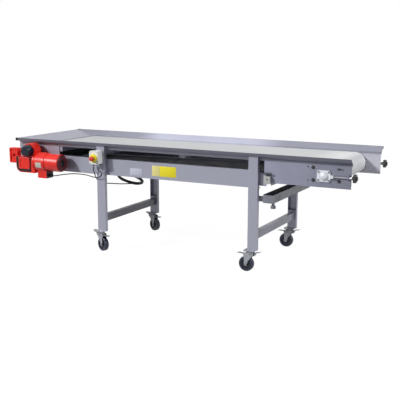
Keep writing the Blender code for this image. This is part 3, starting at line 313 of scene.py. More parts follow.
def painted(name, colour, **more):
    return finish(name, colour, (0.30, 0.44), 0.0, (150, 150, 150), 0.5, 0.14, 0.0004, (9.0, 0.34), sheen=0.35,
                  **more)


def zinc(name="zinc", colour=(0.33, 0.34, 0.38), **more):
    return finish(name, colour, (0.32, 0.50), METAL, (220, 220, 220), 0.5, 0.12, 0.0003, (16.0, 0.30), **more)


# ------------------------------------------------------------------ modelling helpers
def deselect():
    bpy.ops.object.select_all(action="DESELECT")


def settle(obj):
    """obj's place goes into its mesh, and it is left selected alone."""
    deselect()
    obj.select_set(True)
    bpy.context.view_layer.objects.active = obj
    bpy.ops.object.transform_apply(location=True, rotation=True, scale=True)
    return obj


def turn_to(axis):
    """Rotation that stands a Z-facing primitive along axis."""
    return AXES["Z"].rotation_difference(Vector(axis).normalized()).to_euler()


def add_block(name, low, high):
    """A block between two corners."""
    deselect()
    low, high = Vector(low), Vector(high)
    bpy.ops.mesh.primitive_cube_add(size=1, location=(low + high) / 2)
    obj = bpy.context.object
    obj.name = name
    obj.scale = high - low
    return settle(obj)


def add_round(name, centre, axis, radius, depth, sides=32):
    """A round or many-sided bar about centre."""
    deselect()
    bpy.ops.mesh.primitive_cylinder_add(vertices=sides, radius=radius, depth=depth, location=centre,
                                        rotation=turn_to(axis))
    obj = bpy.context.object
    obj.name = name
    return settle(obj)


def edit(obj):
    deselect()
    obj.select_set(True)
    bpy.context.view_layer.objects.active = obj
    bpy.ops.object.mode_set(mode="EDIT")
    bpy.ops.mesh.select_mode(type="FACE")
    bpy.ops.mesh.select_all(action="DESELECT")
    return bmesh.from_edit_mesh(obj.data)


def done():
    bpy.ops.object.mode_set(mode="OBJECT")


def pick_faces(bm, test):
    """Selects the faces that pass the test, and returns how many there are."""
    count = 0
    for face in bm.faces:
        chosen = bool(test(face))
        face.select_set(chosen)
        count += chosen
    bm.select_flush_mode()
    return count


def round_edges(obj, width, segments=2, sharp=30):
    """Rounds every sharp edge."""
    edit(obj)
    bpy.ops.mesh.select_mode(type="EDGE")
    bpy.ops.mesh.edges_select_sharp(sharpness=math.radians(sharp))
    bpy.ops.mesh.bevel(offset=width, segments=segments, affect="EDGES")
    bpy.ops.mesh.select_mode(type="FACE")
    done()
    return obj


def inset_face(obj, direction, thickness, depth):
    """Insets the middle face that looks along direction and sinks (or raises) it."""
    bm = edit(obj)
    direction = Vector(direction).normalized()
    places = [vertex.co for vertex in bm.verts]
    centre = sum(places, Vector()) / len(places)

    def off_axis(face):
        offset = face.calc_center_median() - centre
        return (offset - direction * offset.dot(direction)).length

    middle = min((face for face in bm.faces if face.normal.dot(direction) > 0.999), key=off_axis)
    pick_faces(bm, lambda face: face == middle)
    bmesh.update_edit_mesh(obj.data)
    bpy.ops.mesh.inset(thickness=thickness, depth=0)
    bpy.ops.mesh.extrude_region_move(TRANSFORM_OT_translate={"value": Vector(direction).normalized() * depth})
    done()
    return obj


def joined(name, pieces):
    """One piece from several."""
    deselect()
    for piece in pieces:
        piece.select_set(True)
    bpy.context.view_layer.objects.active = pieces[0]
    bpy.ops.object.join()
    obj = bpy.context.object
    obj.name = name
    return obj


def complete(obj, material, body, smooth=35):
    """Gives a finished piece its material, shading and body."""
    settle(obj)
    if smooth:
        bpy.ops.object.shade_smooth_by_angle(angle=math.radians(smooth))
    if not obj.data.materials:
        obj.data.materials.append(material)
    obj.data.name = obj.name
    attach(obj, body)
    return obj


def dress(node, material, edge=None, smooth=True):
    """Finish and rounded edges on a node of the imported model."""
    obj = NODES[node]
    obj.data.materials.clear()
    obj.data.materials.append(material)
    width = bpy.context.scene.conveyor_sizes.edge_round if edge is None else edge
    if smooth:
        obj.data.polygons.foreach_set("use_smooth", [True] * len(obj.data.polygons))
    weld = obj.modifiers.new("Weld", "WELD")
    weld.merge_threshold = 0.00002
    if width:
        bevel = obj.modifiers.new("Rounded edges", "BEVEL")
        bevel.width = width
        bevel.segments = 2
        bevel.limit_method = "ANGLE"
        bevel.angle_limit = math.radians(38)
    if smooth:
        obj.modifiers.new("Even shading", "WEIGHTED_NORMAL")


def hex_bolt(name, centre, axis, radius, height, washer=True):
    """Hexagon head on a washer, standing on a face at centre."""
    axis = Vector(axis).normalized()
    centre = Vector(centre)
    parts = []
    lift = 0.0
    if washer:
        lift = height * 0.28
        parts.append(add_round(name + "_washer", centre + axis * lift / 2, axis, radius * 1.28, lift, 24))
    head = add_round(name, centre + axis * (lift + height / 2), axis, radius, height, 6)
    inset_face(head, axis, radius * 0.16, height * 0.08)
    parts.append(round_edges(head, radius * 0.05, 1))
    return joined(name, parts) if len(parts) > 1 else head


def set_screws(name, places, axis, radius, height, material, body, washer=True):
    """A row of like bolts as one piece."""
    bolts = [hex_bolt(f"{name}_{k}", place, axis, radius, height, washer) for k, place in enumerate(places)]
    return complete(joined(name, bolts), material, body)


# ------------------------------------------------------------------ operators
class CONVEYOR_OT_stage(bpy.types.Operator):
    """Sets the camera, the floor, the lamps and the white surround."""

    bl_idname = "conveyor.stage"
    bl_label = "Stage"

    def execute(self, context):
        camera_data = bpy.data.cameras.new("camera")
        camera_data.lens = 67.51
        camera_data.sensor_width = 36
        camera_data.clip_end = 200
        camera = bpy.data.objects.new("camera", camera_data)
        context.scene.collection.objects.link(camera)
        aim = Matrix.Rotation(math.radians(27.40), 4, "Z") @ Matrix.Rotation(math.radians(79.086), 4, "X")
        aim = aim @ Matrix.Rotation(math.radians(0.127), 4, "Z")
        camera.matrix_world = Matrix.Translation(at(3.0877, -5.7966, 1.7041)) @ aim
        context.scene.camera = camera

        deselect()
        bpy.ops.mesh.primitive_plane_add(size=120, location=(0, 0, -0.0005))
        floor = context.object
        floor.name = "floor"
        paint = bpy.data.materials.new("pale_floor")
        paint.use_nodes = True
        tree = paint.node_tree
        tree.nodes.remove(tree.nodes["Principled BSDF"])
        matt = tree.nodes.new("ShaderNodeBsdfDiffuse")
        matt.inputs["Color"].default_value = (0.30, 0.30, 0.31, 1)
        glow = tree.nodes.new("ShaderNodeEmission")
        glow.inputs["Color"].default_value = (1, 1, 1, 1)
        glow.inputs["Strength"].default_value = 1.14
        rays = tree.nodes.new("ShaderNodeLightPath")
        seen = tree.nodes.new("ShaderNodeMath")
        seen.operation = "MAXIMUM"
        tree.links.new(rays.outputs["Is Camera Ray"], seen.inputs[0])
        tree.links.new(rays.outputs["Is Glossy Ray"], seen.inputs[1])
        share = tree.nodes.new("ShaderNodeMath")
        share.operation = "MULTIPLY"
        share.inputs[1].default_value = 0.86
        tree.links.new(seen.outputs[0], share.inputs[0])
        blend = tree.nodes.new("ShaderNodeMixShader")
        tree.links.new(share.outputs[0], blend.inputs["Fac"])
        tree.links.new(matt.outputs[0], blend.inputs[1])
        tree.links.new(glow.outputs[0], blend.inputs[2])
        tree.links.new(blend.outputs[0], tree.nodes["Material Output"].inputs["Surface"])
        floor.data.materials.append(paint)

        world = bpy.data.worlds.new("surround")
        context.scene.world = world
        world.use_nodes = True
        tree = world.node_tree
        plain = tree.nodes["Background"]
        plain.inputs["Color"].default_value = (0.95, 0.97, 1.0, 1)
        plain.inputs["Strength"].default_value = 0.11
        white = tree.nodes.new("ShaderNodeBackground")
        white.inputs["Color"].default_value = (1, 1, 1, 1)
        white.inputs["Strength"].default_value = 1.0
        rays = tree.nodes.new("ShaderNodeLightPath")
        both = tree.nodes.new("ShaderNodeMath")
        both.operation = "MAXIMUM"
        tree.links.new(rays.outputs["Is Camera Ray"], both.inputs[0])
        tree.links.new(rays.outputs["Is Glossy Ray"], both.inputs[1])
        all_three = tree.nodes.new("ShaderNodeMath")
        all_three.operation = "MAXIMUM"
        tree.links.new(both.outputs[0], all_three.inputs[0])
        tree.links.new(rays.outputs["Is Transmission Ray"], all_three.inputs[1])
        blend = tree.nodes.new("ShaderNodeMixShader")
        tree.links.new(all_three.outputs[0], blend.inputs["Fac"])
        tree.links.new(plain.outputs[0], blend.inputs[1])
        tree.links.new(white.outputs[0], blend.inputs[2])
        tree.links.new(blend.outputs[0], tree.nodes["World Output"].inputs["Surface"])

        lamps = (
            ("key", (-4.2, -5.0, 3.6), 2.75, 7),
            ("side", (5.0, -0.5, 3.1), 1.35, 10),
            ("top", (0.3, -0.6, 6.0), 0.20, 30),
        )
        for name, place, strength, spread in lamps:
            data = bpy.data.lights.new(name, "SUN")
            data.energy = strength
            data.angle = math.radians(spread)
            lamp = bpy.data.objects.new(name, data)
            lamp.location = place
            lamp.rotation_euler = Vector(place).to_track_quat("Z", "Y").to_euler()
            context.scene.collection.objects.link(lamp)
        context.scene.view_settings.view_transform = "Standard"
        return {"FINISHED"}


def coil_frame():
    """Centre, two directions in the coil's plane, its normal and its radius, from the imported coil."""
    low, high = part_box("supply_coil")
    centre = (low + high) / 2
    tilt = math.radians(32)
    across = Vector((0, math.cos(tilt), -math.sin(tilt)))
    normal = Vector((0, math.sin(tilt), math.cos(tilt)))
    return centre, AXES["X"], across, normal, (high.x - low.x) / 2 - 0.016


class CONVEYOR_OT_supply_cord(bpy.types.Operator):
    """Makes the supply cord: out of the switch box, past the leg, coiled behind the near beam, to its plug."""

    bl_idname = "conveyor.supply_cord"
    bl_label = "Supply cord"

    def execute(self, context):
        sizes = context.scene.conveyor_sizes
        centre, along, across, normal, radius = coil_frame()
        gap = 0.0003
        box_low = 0.778 - 0.024 - gap
        x = -0.702
        first = [(x, -0.497, box_low), (x, -0.497, box_low - 0.020), (x - 0.001, -0.490, 0.710),
                 (x - 0.002, -0.476, 0.682), (x - 0.002, -0.460, 0.655), (x, -0.442, 0.631),
                 (x + 0.004, -0.415, 0.609), (x + 0.035, -0.388, 0.596), (-0.602, -0.335, 0.589),
                 (-0.560, -0.275, 0.580)]
        route = [at(*p) for p in first]
        pitch = sizes.cord_diameter * 1.03
        seats = [(0.0, -1.0), (0.87, -0.5), (0.0, 0.0), (-0.87, -0.5), (-0.87, 0.5), (0.0, 1.0), (0.87, 0.5)]
        start = math.radians(112)
        turns = sizes.coil_turns
        steps = 24
        stop = int((turns - 0.50) * steps)
        for k in range(stop + 1):
            turn = k / steps
            here = min(int(turn), turns - 1)
            ahead = min(here + 1, turns - 1)
            share = max(0.0, (turn - here - 0.70) / 0.30)
            share = share * share * (3 - 2 * share)
            out = (seats[here][0] * (1 - share) + seats[ahead][0] * share) * pitch
            up = (seats[here][1] * (1 - share) + seats[ahead][1] * share) * pitch
            angle = start - 2 * math.pi * turn
            spoke = along * math.cos(angle) + across * math.sin(angle)
            route.append(centre + spoke * (radius + out) + normal * up)
        low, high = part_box("supply_plug")
        plug_axis = (low + high) / 2
        near = Vector((high.x + gap, plug_axis.y, plug_axis.z))
        route += [near + Vector((0.034, 0.003, 0.002)), near + Vector((0.012, 0, 0)), near]

        curve = bpy.data.curves.new("supply_cord", "CURVE")
        curve.dimensions = "3D"
        curve.bevel_depth = sizes.cord_diameter / 2
        curve.bevel_resolution = 3
        curve.use_fill_caps = True
        spline = curve.splines.new("POLY")
        fine = smooth_route(route, 0.014)
        spline.points.add(len(fine) - 1)
        for k, (point, place) in enumerate(zip(spline.points, fine)):
            point.co = (*place, 1.0)
        cord = bpy.data.objects.new("supply_cord", curve)
        context.scene.collection.objects.link(cord)
        curve.materials.append(plastic("cord_rubber", (0.018, 0.018, 0.020), (0.40, 0.55)))
        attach(cord, "frame")
        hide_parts("supply_lead", "supply_coil")
        return {"FINISHED"}


def smooth_route(points, spacing):
    """Points about spacing apart on a smooth curve through the route's points."""
    knots = [Vector(p) for p in points]
    knots = [2 * knots[0] - knots[1]] + knots + [2 * knots[-1] - knots[-2]]
    fine = []
    for a, b, c, d in zip(knots, knots[1:], knots[2:], knots[3:]):
        for k in range(12):
            t = k / 12
            fine.append(0.5 * (2 * b + (c - a) * t + (2 * a - 5 * b + 4 * c - d) * t * t
                               + (3 * b - a - 3 * c + d) * t * t * t))
    fine.append(knots[-2])
    lengths = [0.0]
    for a, b in zip(fine, fine[1:]):
        lengths.append(lengths[-1] + (b - a).length)
    count = max(2, round(lengths[-1] / spacing))
    route = []
    k = 0
    for i in range(count + 1):
        wanted = lengths[-1] * i / count
        while k < len(fine) - 2 and lengths[k + 1] < wanted:
            k += 1
        share = (wanted - lengths[k]) / max(lengths[k + 1] - lengths[k], 1e-9)
        route.append(fine[k].lerp(fine[k + 1], share))
    return route


# Brightness along the length, as (x, level). These stand for light and dark that the real surfaces pick up
# from round them: they are painted into the finish, and don't change with the lamps.
TAIL_PANEL_SHADES = ((0.80, 1.0), (1.18, 0.92), (1.34, 0.70), (1.60, 0.64))
FAR_GUARD_SHADES = ((-1.55, 0.66), (-0.85, 0.80), (-0.55, 1.45), (0.35, 1.42), (0.75, 0.80), (1.60, 0.76))
UNDER_SHADES = ((-0.70, 0.55), (-0.50, 0.60), (0.75, 1.1), (0.95, 0.9))
BELT_SHADES = ((-1.40, 0.92), (-0.60, 1.0), (1.05, 1.08), (1.34, 1.36), (1.44, 1.42))
LIP_PAINTED_REFLECTION = (0.105, 0.108, 0.14)                   # the near guard's outer lip, darker for the same reason: a painted dark reflection


class CONVEYOR_OT_frame_finish(bpy.types.Operator):
    """Finishes the sheet-metal frame, the belt and the rollers."""

    bl_idname = "conveyor.frame_finish"
    bl_label = "Frame, belt and rollers"

    def execute(self, context):
        colours = context.scene.conveyor_colours
        stainless = tuple(colours.stainless)
        for node in NODES:
            if node == "tail_panel_far":
                # the far tail panel is lighter than the rest of the stainless: painted light on its inner face
                dress(node, sheet_metal("stainless_far_panel", (0.54, 0.54, 0.62), roughness=WORN, drift=(3.0, 0.2)))
            elif node == "side_guard_near":
                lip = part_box(node)[0].y + 0.0004
                # the outer face of the lip is darker: a painted dark reflection
                dress(node, sheet_metal("stainless_near_guard", stainless, drift=(2.2, 0.2),
                                        zone=((0, -1, 0), -lip, LIP_PAINTED_REFLECTION, 0.45, METAL)))
            elif node.startswith("tail_panel"):
                # the near tail panel is a little darker than the stainless, and darker still towards the tail end:
                # painted shade
                dress(node, sheet_metal("stainless_panel", (0.33, 0.34, 0.44), roughness=WORN, drift=(3.0, 0.30),
                                        ramp=TAIL_PANEL_SHADES))
            elif node == "side_guard_far":
                # bright in the middle of its length and darker at both ends: painted reflections
                dress(node, sheet_metal("stainless_far_guard", stainless, ramp=FAR_GUARD_SHADES))
            elif node.startswith(("side_guard", "side_beam", "drive_panel", "slider_bed")):
                dress(node, brushed("X"))
            elif node.startswith("leg_"):
                dress(node, brushed("Z"), 0.0012)
            elif node.startswith(("brace_", "drip_trough")):
                # the braces and the drip trough are darker than the stainless, darkest at the drive end: painted shade
                # under the deck
                under = sheet_metal("stainless_under", (0.225, 0.23, 0.275), "Y", WORN, (2.2, 0.2), ramp=UNDER_SHADES)
                dress(node, under, 0.0008)
            elif node == "front_apron":
                dress(node, brushed("Y"), 0.0008)
        # the belt grows brighter towards the tail drum: painted light on its curve
        shades = [(x, shade * colours.belt[1]) for x, shade in BELT_SHADES]
        belt = finish("belt_coating", (0.95, 0.96, 0.975), (0.56, 0.70), 0.0, (30, 900, 900), 0.4, 0.10, 0.0002,
                      (1.6, 0.05), sheen=0.25, ramp=shades)
        dress("belt", belt, 0.0004)
        steel = finish("turned_steel", (0.30, 0.30, 0.32), (0.28, 0.42), METAL, (500, 12, 500), 0.5, 0.15, 0.0003,
                       (5.0, 0.2))
        for node in ("drive_drum", "tail_drum", "deflector_roller", "snub_roller", "rotor_shaft"):
            dress(node, steel, 0)
        dress("worm_wheel", finish("bronze", (0.55, 0.33, 0.10), (0.3, 0.45), 0.8), 0.0005)
        return {"FINISHED"}


class CONVEYOR_OT_drive_finish(bpy.types.Operator):
    """Finishes the gear motor, and adds its fan grille, fins, screws, lid and blank plate."""

    bl_idname = "conveyor.drive_finish"
    bl_label = "Gear motor"

    def execute(self, context):
        red = painted("motor_paint", tuple(context.scene.conveyor_colours.motor))
        black = plastic("black_moulding", (0.010, 0.011, 0.014))
        for node in ("gear_case", "motor_frame", "torque_arm"):
            dress(node, red, 0.0014)
        cowl_low, cowl_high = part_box("fan_cowl")
        # the cowl's last 10 mm, its end included, is dark maroon
        dress("fan_cowl", painted("cowl_paint", tuple(context.scene.conveyor_colours.motor),
                                  zone=((1, 0, 0), cowl_high.x - 0.010, (0.085, 0.010, 0.014), 0.5, 0.0)), 0.0012)
        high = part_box("terminal_box")[1]
        edge = high.x - 0.0325
        # the right-hand 32.5 mm of the box is near black
        dress("terminal_box", painted("box_paint", tuple(context.scene.conveyor_colours.motor),
                                      zone=((1, 0, 0), edge, (0.012, 0.012, 0.015), 0.45, 0.0)), 0.0016)
        dress("shaft_cap", plastic("cap_moulding", (0.006, 0.010, 0.026), (0.16, 0.26)), 0.0012)

        axis = (cowl_low + cowl_high) / 2
        bars = []
        for k, radius in enumerate((0.010, 0.020, 0.030)):
            deselect()
            bpy.ops.mesh.primitive_torus_add(major_radius=radius, minor_radius=0.0012, major_segments=40,
                                             minor_segments=8, rotation=(0, math.pi / 2, 0),
                                             location=(cowl_high.x - 0.0014, axis.y, axis.z))
            bars.append(settle(context.object))
        for k in range(6):
            angle = math.pi * k / 6
            spoke = Vector((0, math.cos(angle), math.sin(angle)))
            bars.append(add_round(f"spoke_{k}", (cowl_high.x - 0.0016, axis.y, axis.z), spoke, 0.0011, 0.062, 8))
        complete(joined("fan_grille", bars), black, "frame")

        frame_low, frame_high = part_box("motor_frame")
        fins = []
        radius = (frame_high.z - frame_low.z) / 2
        for k in range(26):
            angle = 2 * math.pi * (k + 0.5) / 26
            at_terminal_box = abs(math.sin(angle) + 1) < 0.16
            at_plate = math.radians(172) < angle < math.radians(216)
            if at_terminal_box or at_plate:
                continue
            out = Vector((0, math.cos(angle), math.sin(angle)))
            side = Vector((0, -math.sin(angle), math.cos(angle)))
            base = Vector(((frame_low.x + frame_high.x) / 2 + 0.009, axis.y, axis.z))
            fin = add_block(f"fin_{k}", (-0.040, -0.0011, radius - 0.006), (0.040, 0.0011, radius + 0.0016))
            turn = Matrix((AXES["X"], side, out)).transposed().to_4x4()
            fin.matrix_world = Matrix.Translation(base) @ turn
            fins.append(settle(round_edges(settle(fin), 0.0004, 1)))
        complete(joined("cooling_fins", fins), red, "frame")

        case_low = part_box("gear_case")[0]
        screws = []
        screw_circle = 0.072
        for k in range(6):
            angle = 2 * math.pi * (k + 0.5) / 6
            if math.sin(angle) > 0.8:
                continue
            screws.append((frame_low.x - 0.0133, axis.y + screw_circle * math.cos(angle),
                           axis.z + screw_circle * math.sin(angle)))
        steel = zinc("zinc_bolts", (0.30, 0.30, 0.33))
        set_screws("flange_bolts", screws, (-1, 0, 0), 0.0055, 0.005, steel, "frame", washer=False)
        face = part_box("shaft_cap")[1].y + 0.0003
        # a dark plate behind the lid, wider than it: painted shadow round the lid, widest at its left and lower edges
        lid_shadow = add_block("worm_gasket", (case_low.x + 0.004, face - 0.0020, 0.668),
                           (case_low.x + 0.170, face + 0.001, 0.802))
        bm = edit(lid_shadow)
        bpy.ops.mesh.select_mode(type="EDGE")
        for side in bm.edges:
            first, second = (vertex.co for vertex in side.verts)
            upright = abs(first.y - second.y) > 0.001
            side.select_set(upright and first.x < case_low.x + 0.01 and first.z < 0.70)
        bmesh.update_edit_mesh(lid_shadow.data)
        bpy.ops.mesh.bevel(offset=0.052, segments=8, affect="EDGES")
        done()
        complete(lid_shadow, plastic("shadow_rubber", (0.018, 0.004, 0.004)), "frame")
        lid_face = face - 0.0080
        lid = add_block("worm_lid", (case_low.x + 0.034, lid_face, 0.692), (case_low.x + 0.160, face - 0.001, 0.799))
        round_edges(lid, 0.002, 3)
        inset_face(lid, (0, -1, 0), 0.016, -0.0030)
        complete(lid, red, "frame")
        corners = [(case_low.x + x, lid_face, z) for x in (0.042, 0.152) for z in (0.700, 0.791)]
        set_screws("lid_bolts", corners, (0, -1, 0), 0.0045, 0.004, steel, "frame", washer=False)

        front = axis.y - radius
        plate = add_block("motor_plate", (at(-1.262, 0, 0).x, front - 0.0012, axis.z - 0.001),
                          (at(-1.200, 0, 0).x, front + 0.0030, axis.z + 0.004))
        bm = edit(plate)
        pick_faces(bm, lambda face: face.normal.z < -0.999)
        bmesh.update_edit_mesh(plate.data)
        bpy.ops.mesh.spin(steps=8, angle=math.radians(-30), center=axis, axis=AXES["X"])
        bpy.ops.mesh.select_all(action="SELECT")
        bpy.ops.mesh.remove_doubles(threshold=0.00005)
        bpy.ops.mesh.normals_make_consistent(inside=False)
        done()
        complete(plate, finish("plate_tin", (0.62, 0.60, 0.52), (0.25, 0.4), METAL), "frame")
        return {"FINISHED"}


class CONVEYOR_OT_tail_finish(bpy.types.Operator):
    """Finishes the bearings and take-up screws, and adds the panels' bolts and slots."""

    bl_idname = "conveyor.tail_finish"
    bl_label = "Tail station"

    def execute(self, context):
        sizes = context.scene.conveyor_sizes
        cast = finish("cast_bearing", (0.80, 0.82, 0.88), (0.26, 0.42), METAL, (260, 260, 260), 0.5, 0.2, 0.0004,
                      (22.0, 0.22))
        dark = zinc("dark_bolts", (0.035, 0.036, 0.045))
        bright = zinc("zinc_bolts", (0.30, 0.30, 0.33))
        knob_edge = at(1.5713, 0, 0).x
        screw = finish("screw_and_knob", (0.34, 0.34, 0.37), (0.25, 0.35), 0.6, (620, 3, 3), 0.8, 0.5, 0.0008,
                       (8.0, 0.2), zone=((1, 0, 0), knob_edge, (0.008, 0.008, 0.009), 0.36, 0.0))
        for side, label in ((NEAR, "near"), (FAR, "far")):
            dress(f"tail_bearing_{label}", cast, 0.0016)
            dress(f"tension_screw_{label}", screw, 0.0008)
            face = side * PLATE_FACE
            out = (0, side, 0)
            big = [at(x, face, z) for x, z in ((1.266, 0.877), (1.269, 0.780), (1.470, 0.784))]
            set_screws(f"panel_bolts_{label}", big, out, sizes.bolt_radius, 0.006, dark, "frame")
            small = [at(x, face, z) for x, z in ((1.225, 0.880), (1.228, 0.777), (1.497, 0.872))]
            set_screws(f"panel_screws_{label}", small, out, 0.0042, 0.0035, dark, "frame")
            # the slot is a flat dark plate on the panel's face: painted shade for the opening
            slotted = add_block(f"panel_slot_{label}", at(1.455, face - 0.0005, 0.8665),
                                at(1.487, face + 0.0005, 0.8815))
            round_edges(slotted, 0.0004, 1)
            complete(slotted, dark, "frame")
            bearing_low, bearing_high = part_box(f"tail_bearing_{label}")
            middle_x = at(1.353, 0, 0).x
            middle_z = (bearing_low.z + bearing_high.z) / 2
            flange = at(0, side * (PLATE_FACE + 0.0123), 0).y
            corners = [(middle_x + a * 0.040, flange, middle_z + b * 0.031) for a in (-1, 1) for b in (-1, 1)]
            set_screws(f"bearing_bolts_{label}", corners, out, 0.0062, 0.0048, bright, "take_up")
            lug_x = at(1.5513, 0, 0).x
            nut = [(lug_x, at(0, side * (PLATE_FACE + 0.0175), 0).y, middle_z)]
            ring = add_round(f"screw_nut_{label}", nut[0], (1, 0, 0), 0.0105, 0.008, 6)
            round_edges(ring, 0.0006, 1)
            complete(ring, bright, f"screw_{label}")
        dress("drive_bearing_far", cast, 0.0016)
        low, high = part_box("drive_bearing_far")
        corners = [((low.x + high.x) / 2 + a * 0.040, at(0, PLATE_FACE + 0.0123, 0).y, (low.z + high.z) / 2 + b * 0.031)
                   for a in (-1, 1) for b in (-1, 1)]
        set_screws("drive_bearing_bolts", corners, (0, 1, 0), 0.0062, 0.0048, bright, "frame")
        return {"FINISHED"}


class CONVEYOR_OT_castors(bpy.types.Operator):
    """Makes the castor wheels with their tyres and hubs, and finishes the forks."""

    bl_idname = "conveyor.castors"
    bl_label = "Castors"

    def execute(self, context):
        rubber = finish("tyre_rubber", tuple(context.scene.conveyor_colours.tyre), (0.24, 0.40), 0.0,
                        (300, 300, 300), 0.4, 0.15, 0.0003, (20.0, 0.15))
        hub_plastic = plastic("hub_moulding", (0.010, 0.012, 0.022), (0.30, 0.42))
        metal = zinc("castor_zinc", (0.36, 0.37, 0.41))
        nut_metal = zinc("zinc_bolts", (0.30, 0.30, 0.33))
        for end in ("drive", "tail"):
            swivel = math.radians(160) if end == "drive" else 0.0
            axle = Vector((-math.sin(swivel), math.cos(swivel), 0))
            for side in ("near", "far"):
                name = f"castor_{end}_{side}"
                low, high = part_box(f"{name}_wheel")
                centre = (low + high) / 2
                wheel = add_round(f"{name}_tyre", centre, axle, 0.0625, 0.0352, 64)
                round_edges(wheel, 0.0062, 5)
                for way in (axle, -axle):
                    inset_face(wheel, way, 0.0135, -0.0052)
                    inset_face(wheel, way, 0.0230, 0.0058)
                wheel.data.materials.append(rubber)
                wheel.data.materials.append(hub_plastic)
                for face in wheel.data.polygons:
                    offset = face.center - centre
                    flat = offset - axle * offset.dot(axle)
                    if flat.length < 0.0405:
                        face.material_index = 1
                complete(wheel, rubber, f"{name}_wheel")
                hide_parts(f"{name}_wheel")
                for part in ("fork", "plate", "pedal"):
                    dress(f"{name}_{part}", metal, 0.0009)
                ends = [hex_bolt(f"axle_end_{k}", centre + way * 0.0232, way, 0.0085, 0.0050)
                        for k, way in enumerate((axle, -axle))]
                complete(joined(f"{name}_axle_nuts", ends), nut_metal, f"{name}_fork")
                plate_low, plate_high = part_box(f"{name}_plate")
                middle = (plate_low + plate_high) / 2
                studs = []
                for a in (-1, 1):
                    for b in (-1, 1):
                        studs.append((middle.x + a * 0.0385, middle.y + b * 0.0305, plate_high.z - 0.0057))
                set_screws(f"{name}_plate_bolts", studs, (0, 0, -1), 0.0062, 0.0042, nut_metal, "frame",
                           washer=False)
        return {"FINISHED"}


class CONVEYOR_OT_switch(bpy.types.Operator):
    """Finishes the switch box, stop button, lead and plug, and adds the lid's screws and seams and the gland nuts."""

    bl_idname = "conveyor.switch"
    bl_label = "Switch box"

    def execute(self, context):
        colours = context.scene.conveyor_colours
        gland_grey = (0.45, 0.50, 0.60)
        box_white = plastic("white_moulding", (0.90, 0.90, 0.88), zone=((0, 0, -1), -0.7775, gland_grey, 0.4, 0.0))
        dress("switch_box", box_white, 0.0015)
        dress("stop_collar", plastic("yellow_moulding", tuple(colours.yellow)), 0.0012)
        dress("stop_button", plastic("red_moulding", (0.80, 0.045, 0.030), (0.22, 0.34), coat=0.3), 0.0008)
        dress("motor_lead", plastic("cord_rubber", (0.018, 0.018, 0.020), (0.40, 0.55)), 0)
        dress("supply_plug", plastic("plug_moulding", (0.014, 0.015, 0.020)), 0.0006)
        low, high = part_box("switch_box")
        floor_z = 0.778
        screws = [(x, low.y, z) for x in (low.x + 0.009, high.x - 0.009) for z in (floor_z + 0.009, high.z - 0.009)]
        heads = []
        for k, place in enumerate(screws):
            centre = Vector(place) + Vector((0, -0.0005, 0))
            head = add_round(f"lid_screw_{k}", centre, (0, -1, 0), 0.0038, 0.0016, 20)
            inset_face(head, (0, -1, 0), 0.0014, -0.0008)
            heads.append(head)
        complete(joined("lid_screws", heads), plastic("screw_grey", (0.35, 0.35, 0.36)), "frame")
        seam = []
        depth = (low.y + high.y) / 2
        extent = Vector((0.0006, 0.0014, high.z - floor_z - 0.024))
        for x in (low.x - 0.0002, high.x + 0.0002):
            corner = Vector((x, depth + 0.011, floor_z + 0.012))
            strip = add_block("seam", corner - Vector((extent.x / 2, extent.y / 2, 0)),
                              corner + Vector((extent.x / 2, extent.y / 2, extent.z)))
            round_edges(strip, 0.0002, 1)
            seam.append(strip)
        complete(joined("lid_seams", seam), plastic("screw_grey", (0.35, 0.35, 0.36)), "frame")
        nuts = []
        for x in (-0.702, -0.658):
            nut = add_round(f"gland_nut_{x}", at(x, -0.497, 0.7675), (0, 0, 1), 0.0135, 0.0185, 6)
            round_edges(nut, 0.0008, 2)
            nuts.append(nut)
        complete(joined("gland_nuts", nuts), plastic("gland_grey", gland_grey), "frame")
        nut = add_round("motor_gland_nut", at(-1.158, -0.515, 0.645), (1, 0, 0), 0.0125, 0.0085, 6)
        round_edges(nut, 0.0008, 2)
        complete(nut, plastic("black_moulding", (0.010, 0.011, 0.014)), "frame")
        return {"FINISHED"}


class CONVEYOR_OT_labels(bpy.types.Operator):
    """Sticks the blank labels on the near beam and the end caps on the guards."""

    bl_idname = "conveyor.labels"
    bl_label = "Labels and end caps"

    def execute(self, context):
        thick = context.scene.conveyor_sizes.label_thickness
        face = -PLATE_FACE
        yellow = plastic("label_yellow", tuple(context.scene.conveyor_colours.yellow), (0.3, 0.4))
        pale = plastic("label_pale_yellow", (0.88, 0.80, 0.30), (0.3, 0.4))
        white = plastic("label_white", (0.58, 0.60, 0.72), (0.3, 0.4))
        for name, x0, x1, z0, z1, paint in (
                ("label_pale", -0.151, -0.076, 0.704, 0.792, pale),
                ("label_bright", -0.0757, 0.080, 0.704, 0.792, yellow),
                ("label_rating", -0.371, -0.251, 0.695, 0.756, white)):
            tag = add_block(name, at(x0, face - thick, z0), at(x1, face + 0.0002, z1))
            round_edges(tag, thick * 0.3, 2)
            complete(tag, paint, "frame")
        black = plastic("black_moulding", (0.010, 0.011, 0.014))
        low, high = GUARD_LOW, GUARD_HIGH
        for side, label in ((NEAR, "near"), (FAR, "far")):
            edge_y = MIDDLE.y + side * 0.4815
            inner = MIDDLE.y + side * 0.462
            cap = add_block(f"guard_cap_{label}", (low.x - 0.005, min(edge_y, inner), high.z - 0.026),
                            (low.x + 0.020, max(edge_y, inner), high.z - 0.0002))
            round_edges(cap, 0.0015, 3)
            complete(cap, black, "frame")
        return {"FINISHED"}


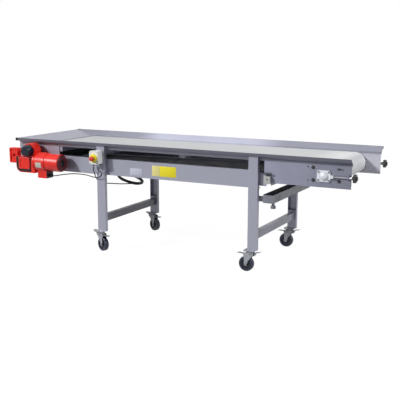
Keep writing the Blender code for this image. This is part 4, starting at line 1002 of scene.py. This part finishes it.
class CONVEYOR_OT_scraper(bpy.types.Operator):
    """Finishes the scraper with its black lever, and its blade."""

    bl_idname = "conveyor.scraper"
    bl_label = "Scraper"

    def execute(self, context):
        metal = zinc("clamp_zinc", (0.50, 0.52, 0.50), zone=((0, 0, 1), 0.7845, (0.008, 0.008, 0.010), 0.4, 0.0))
        dress("scraper_shaft", metal, 0.0012)
        dress("scraper_blade", plastic("blade_white", (0.72, 0.73, 0.74)), 0.0005)
        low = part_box("scraper_shaft")[0]
        middle = at(0.9065, 0, 0.740)
        bolt = hex_bolt("clamp_bolt", (middle.x, low.y, middle.z + 0.022), (0, -1, 0), 0.0065, 0.005)
        complete(bolt, zinc("zinc_bolts", (0.30, 0.30, 0.33)), "scraper")
        return {"FINISHED"}


class CONVEYOR_PT_panel(bpy.types.Panel):
    """Sidebar panel that lists the conveyor's sizes, colours and steps."""

    bl_idname = "CONVEYOR_PT_panel"
    bl_label = "Belt conveyor"
    bl_space_type = "VIEW_3D"
    bl_region_type = "UI"
    bl_category = "Conveyor"

    def draw(self, context):
        for group in (context.scene.conveyor_sizes, context.scene.conveyor_colours):
            box = self.layout.box()
            for name in group.__annotations__:
                box.prop(group, name)
        for step in STEPS:
            self.layout.operator(step.bl_idname)


STEPS = (
    CONVEYOR_OT_stage,
    CONVEYOR_OT_supply_cord,
    CONVEYOR_OT_frame_finish,
    CONVEYOR_OT_drive_finish,
    CONVEYOR_OT_tail_finish,
    CONVEYOR_OT_castors,
    CONVEYOR_OT_switch,
    CONVEYOR_OT_labels,
    CONVEYOR_OT_scraper,
)
CLASSES = (ConveyorSizes, ConveyorColours, *STEPS, CONVEYOR_PT_panel)


def register():
    for item in CLASSES:
        bpy.utils.register_class(item)
    bpy.types.Scene.conveyor_sizes = bpy.props.PointerProperty(type=ConveyorSizes)
    bpy.types.Scene.conveyor_colours = bpy.props.PointerProperty(type=ConveyorColours)


def unregister():
    del bpy.types.Scene.conveyor_colours
    del bpy.types.Scene.conveyor_sizes
    for item in reversed(CLASSES):
        bpy.utils.unregister_class(item)


def main():
    register()
    build_groups()
    for step in STEPS:
        group, name = step.bl_idname.split(".")
        getattr(getattr(bpy.ops, group), name)()
    deselect()


if __name__ == "__main__":
    main()
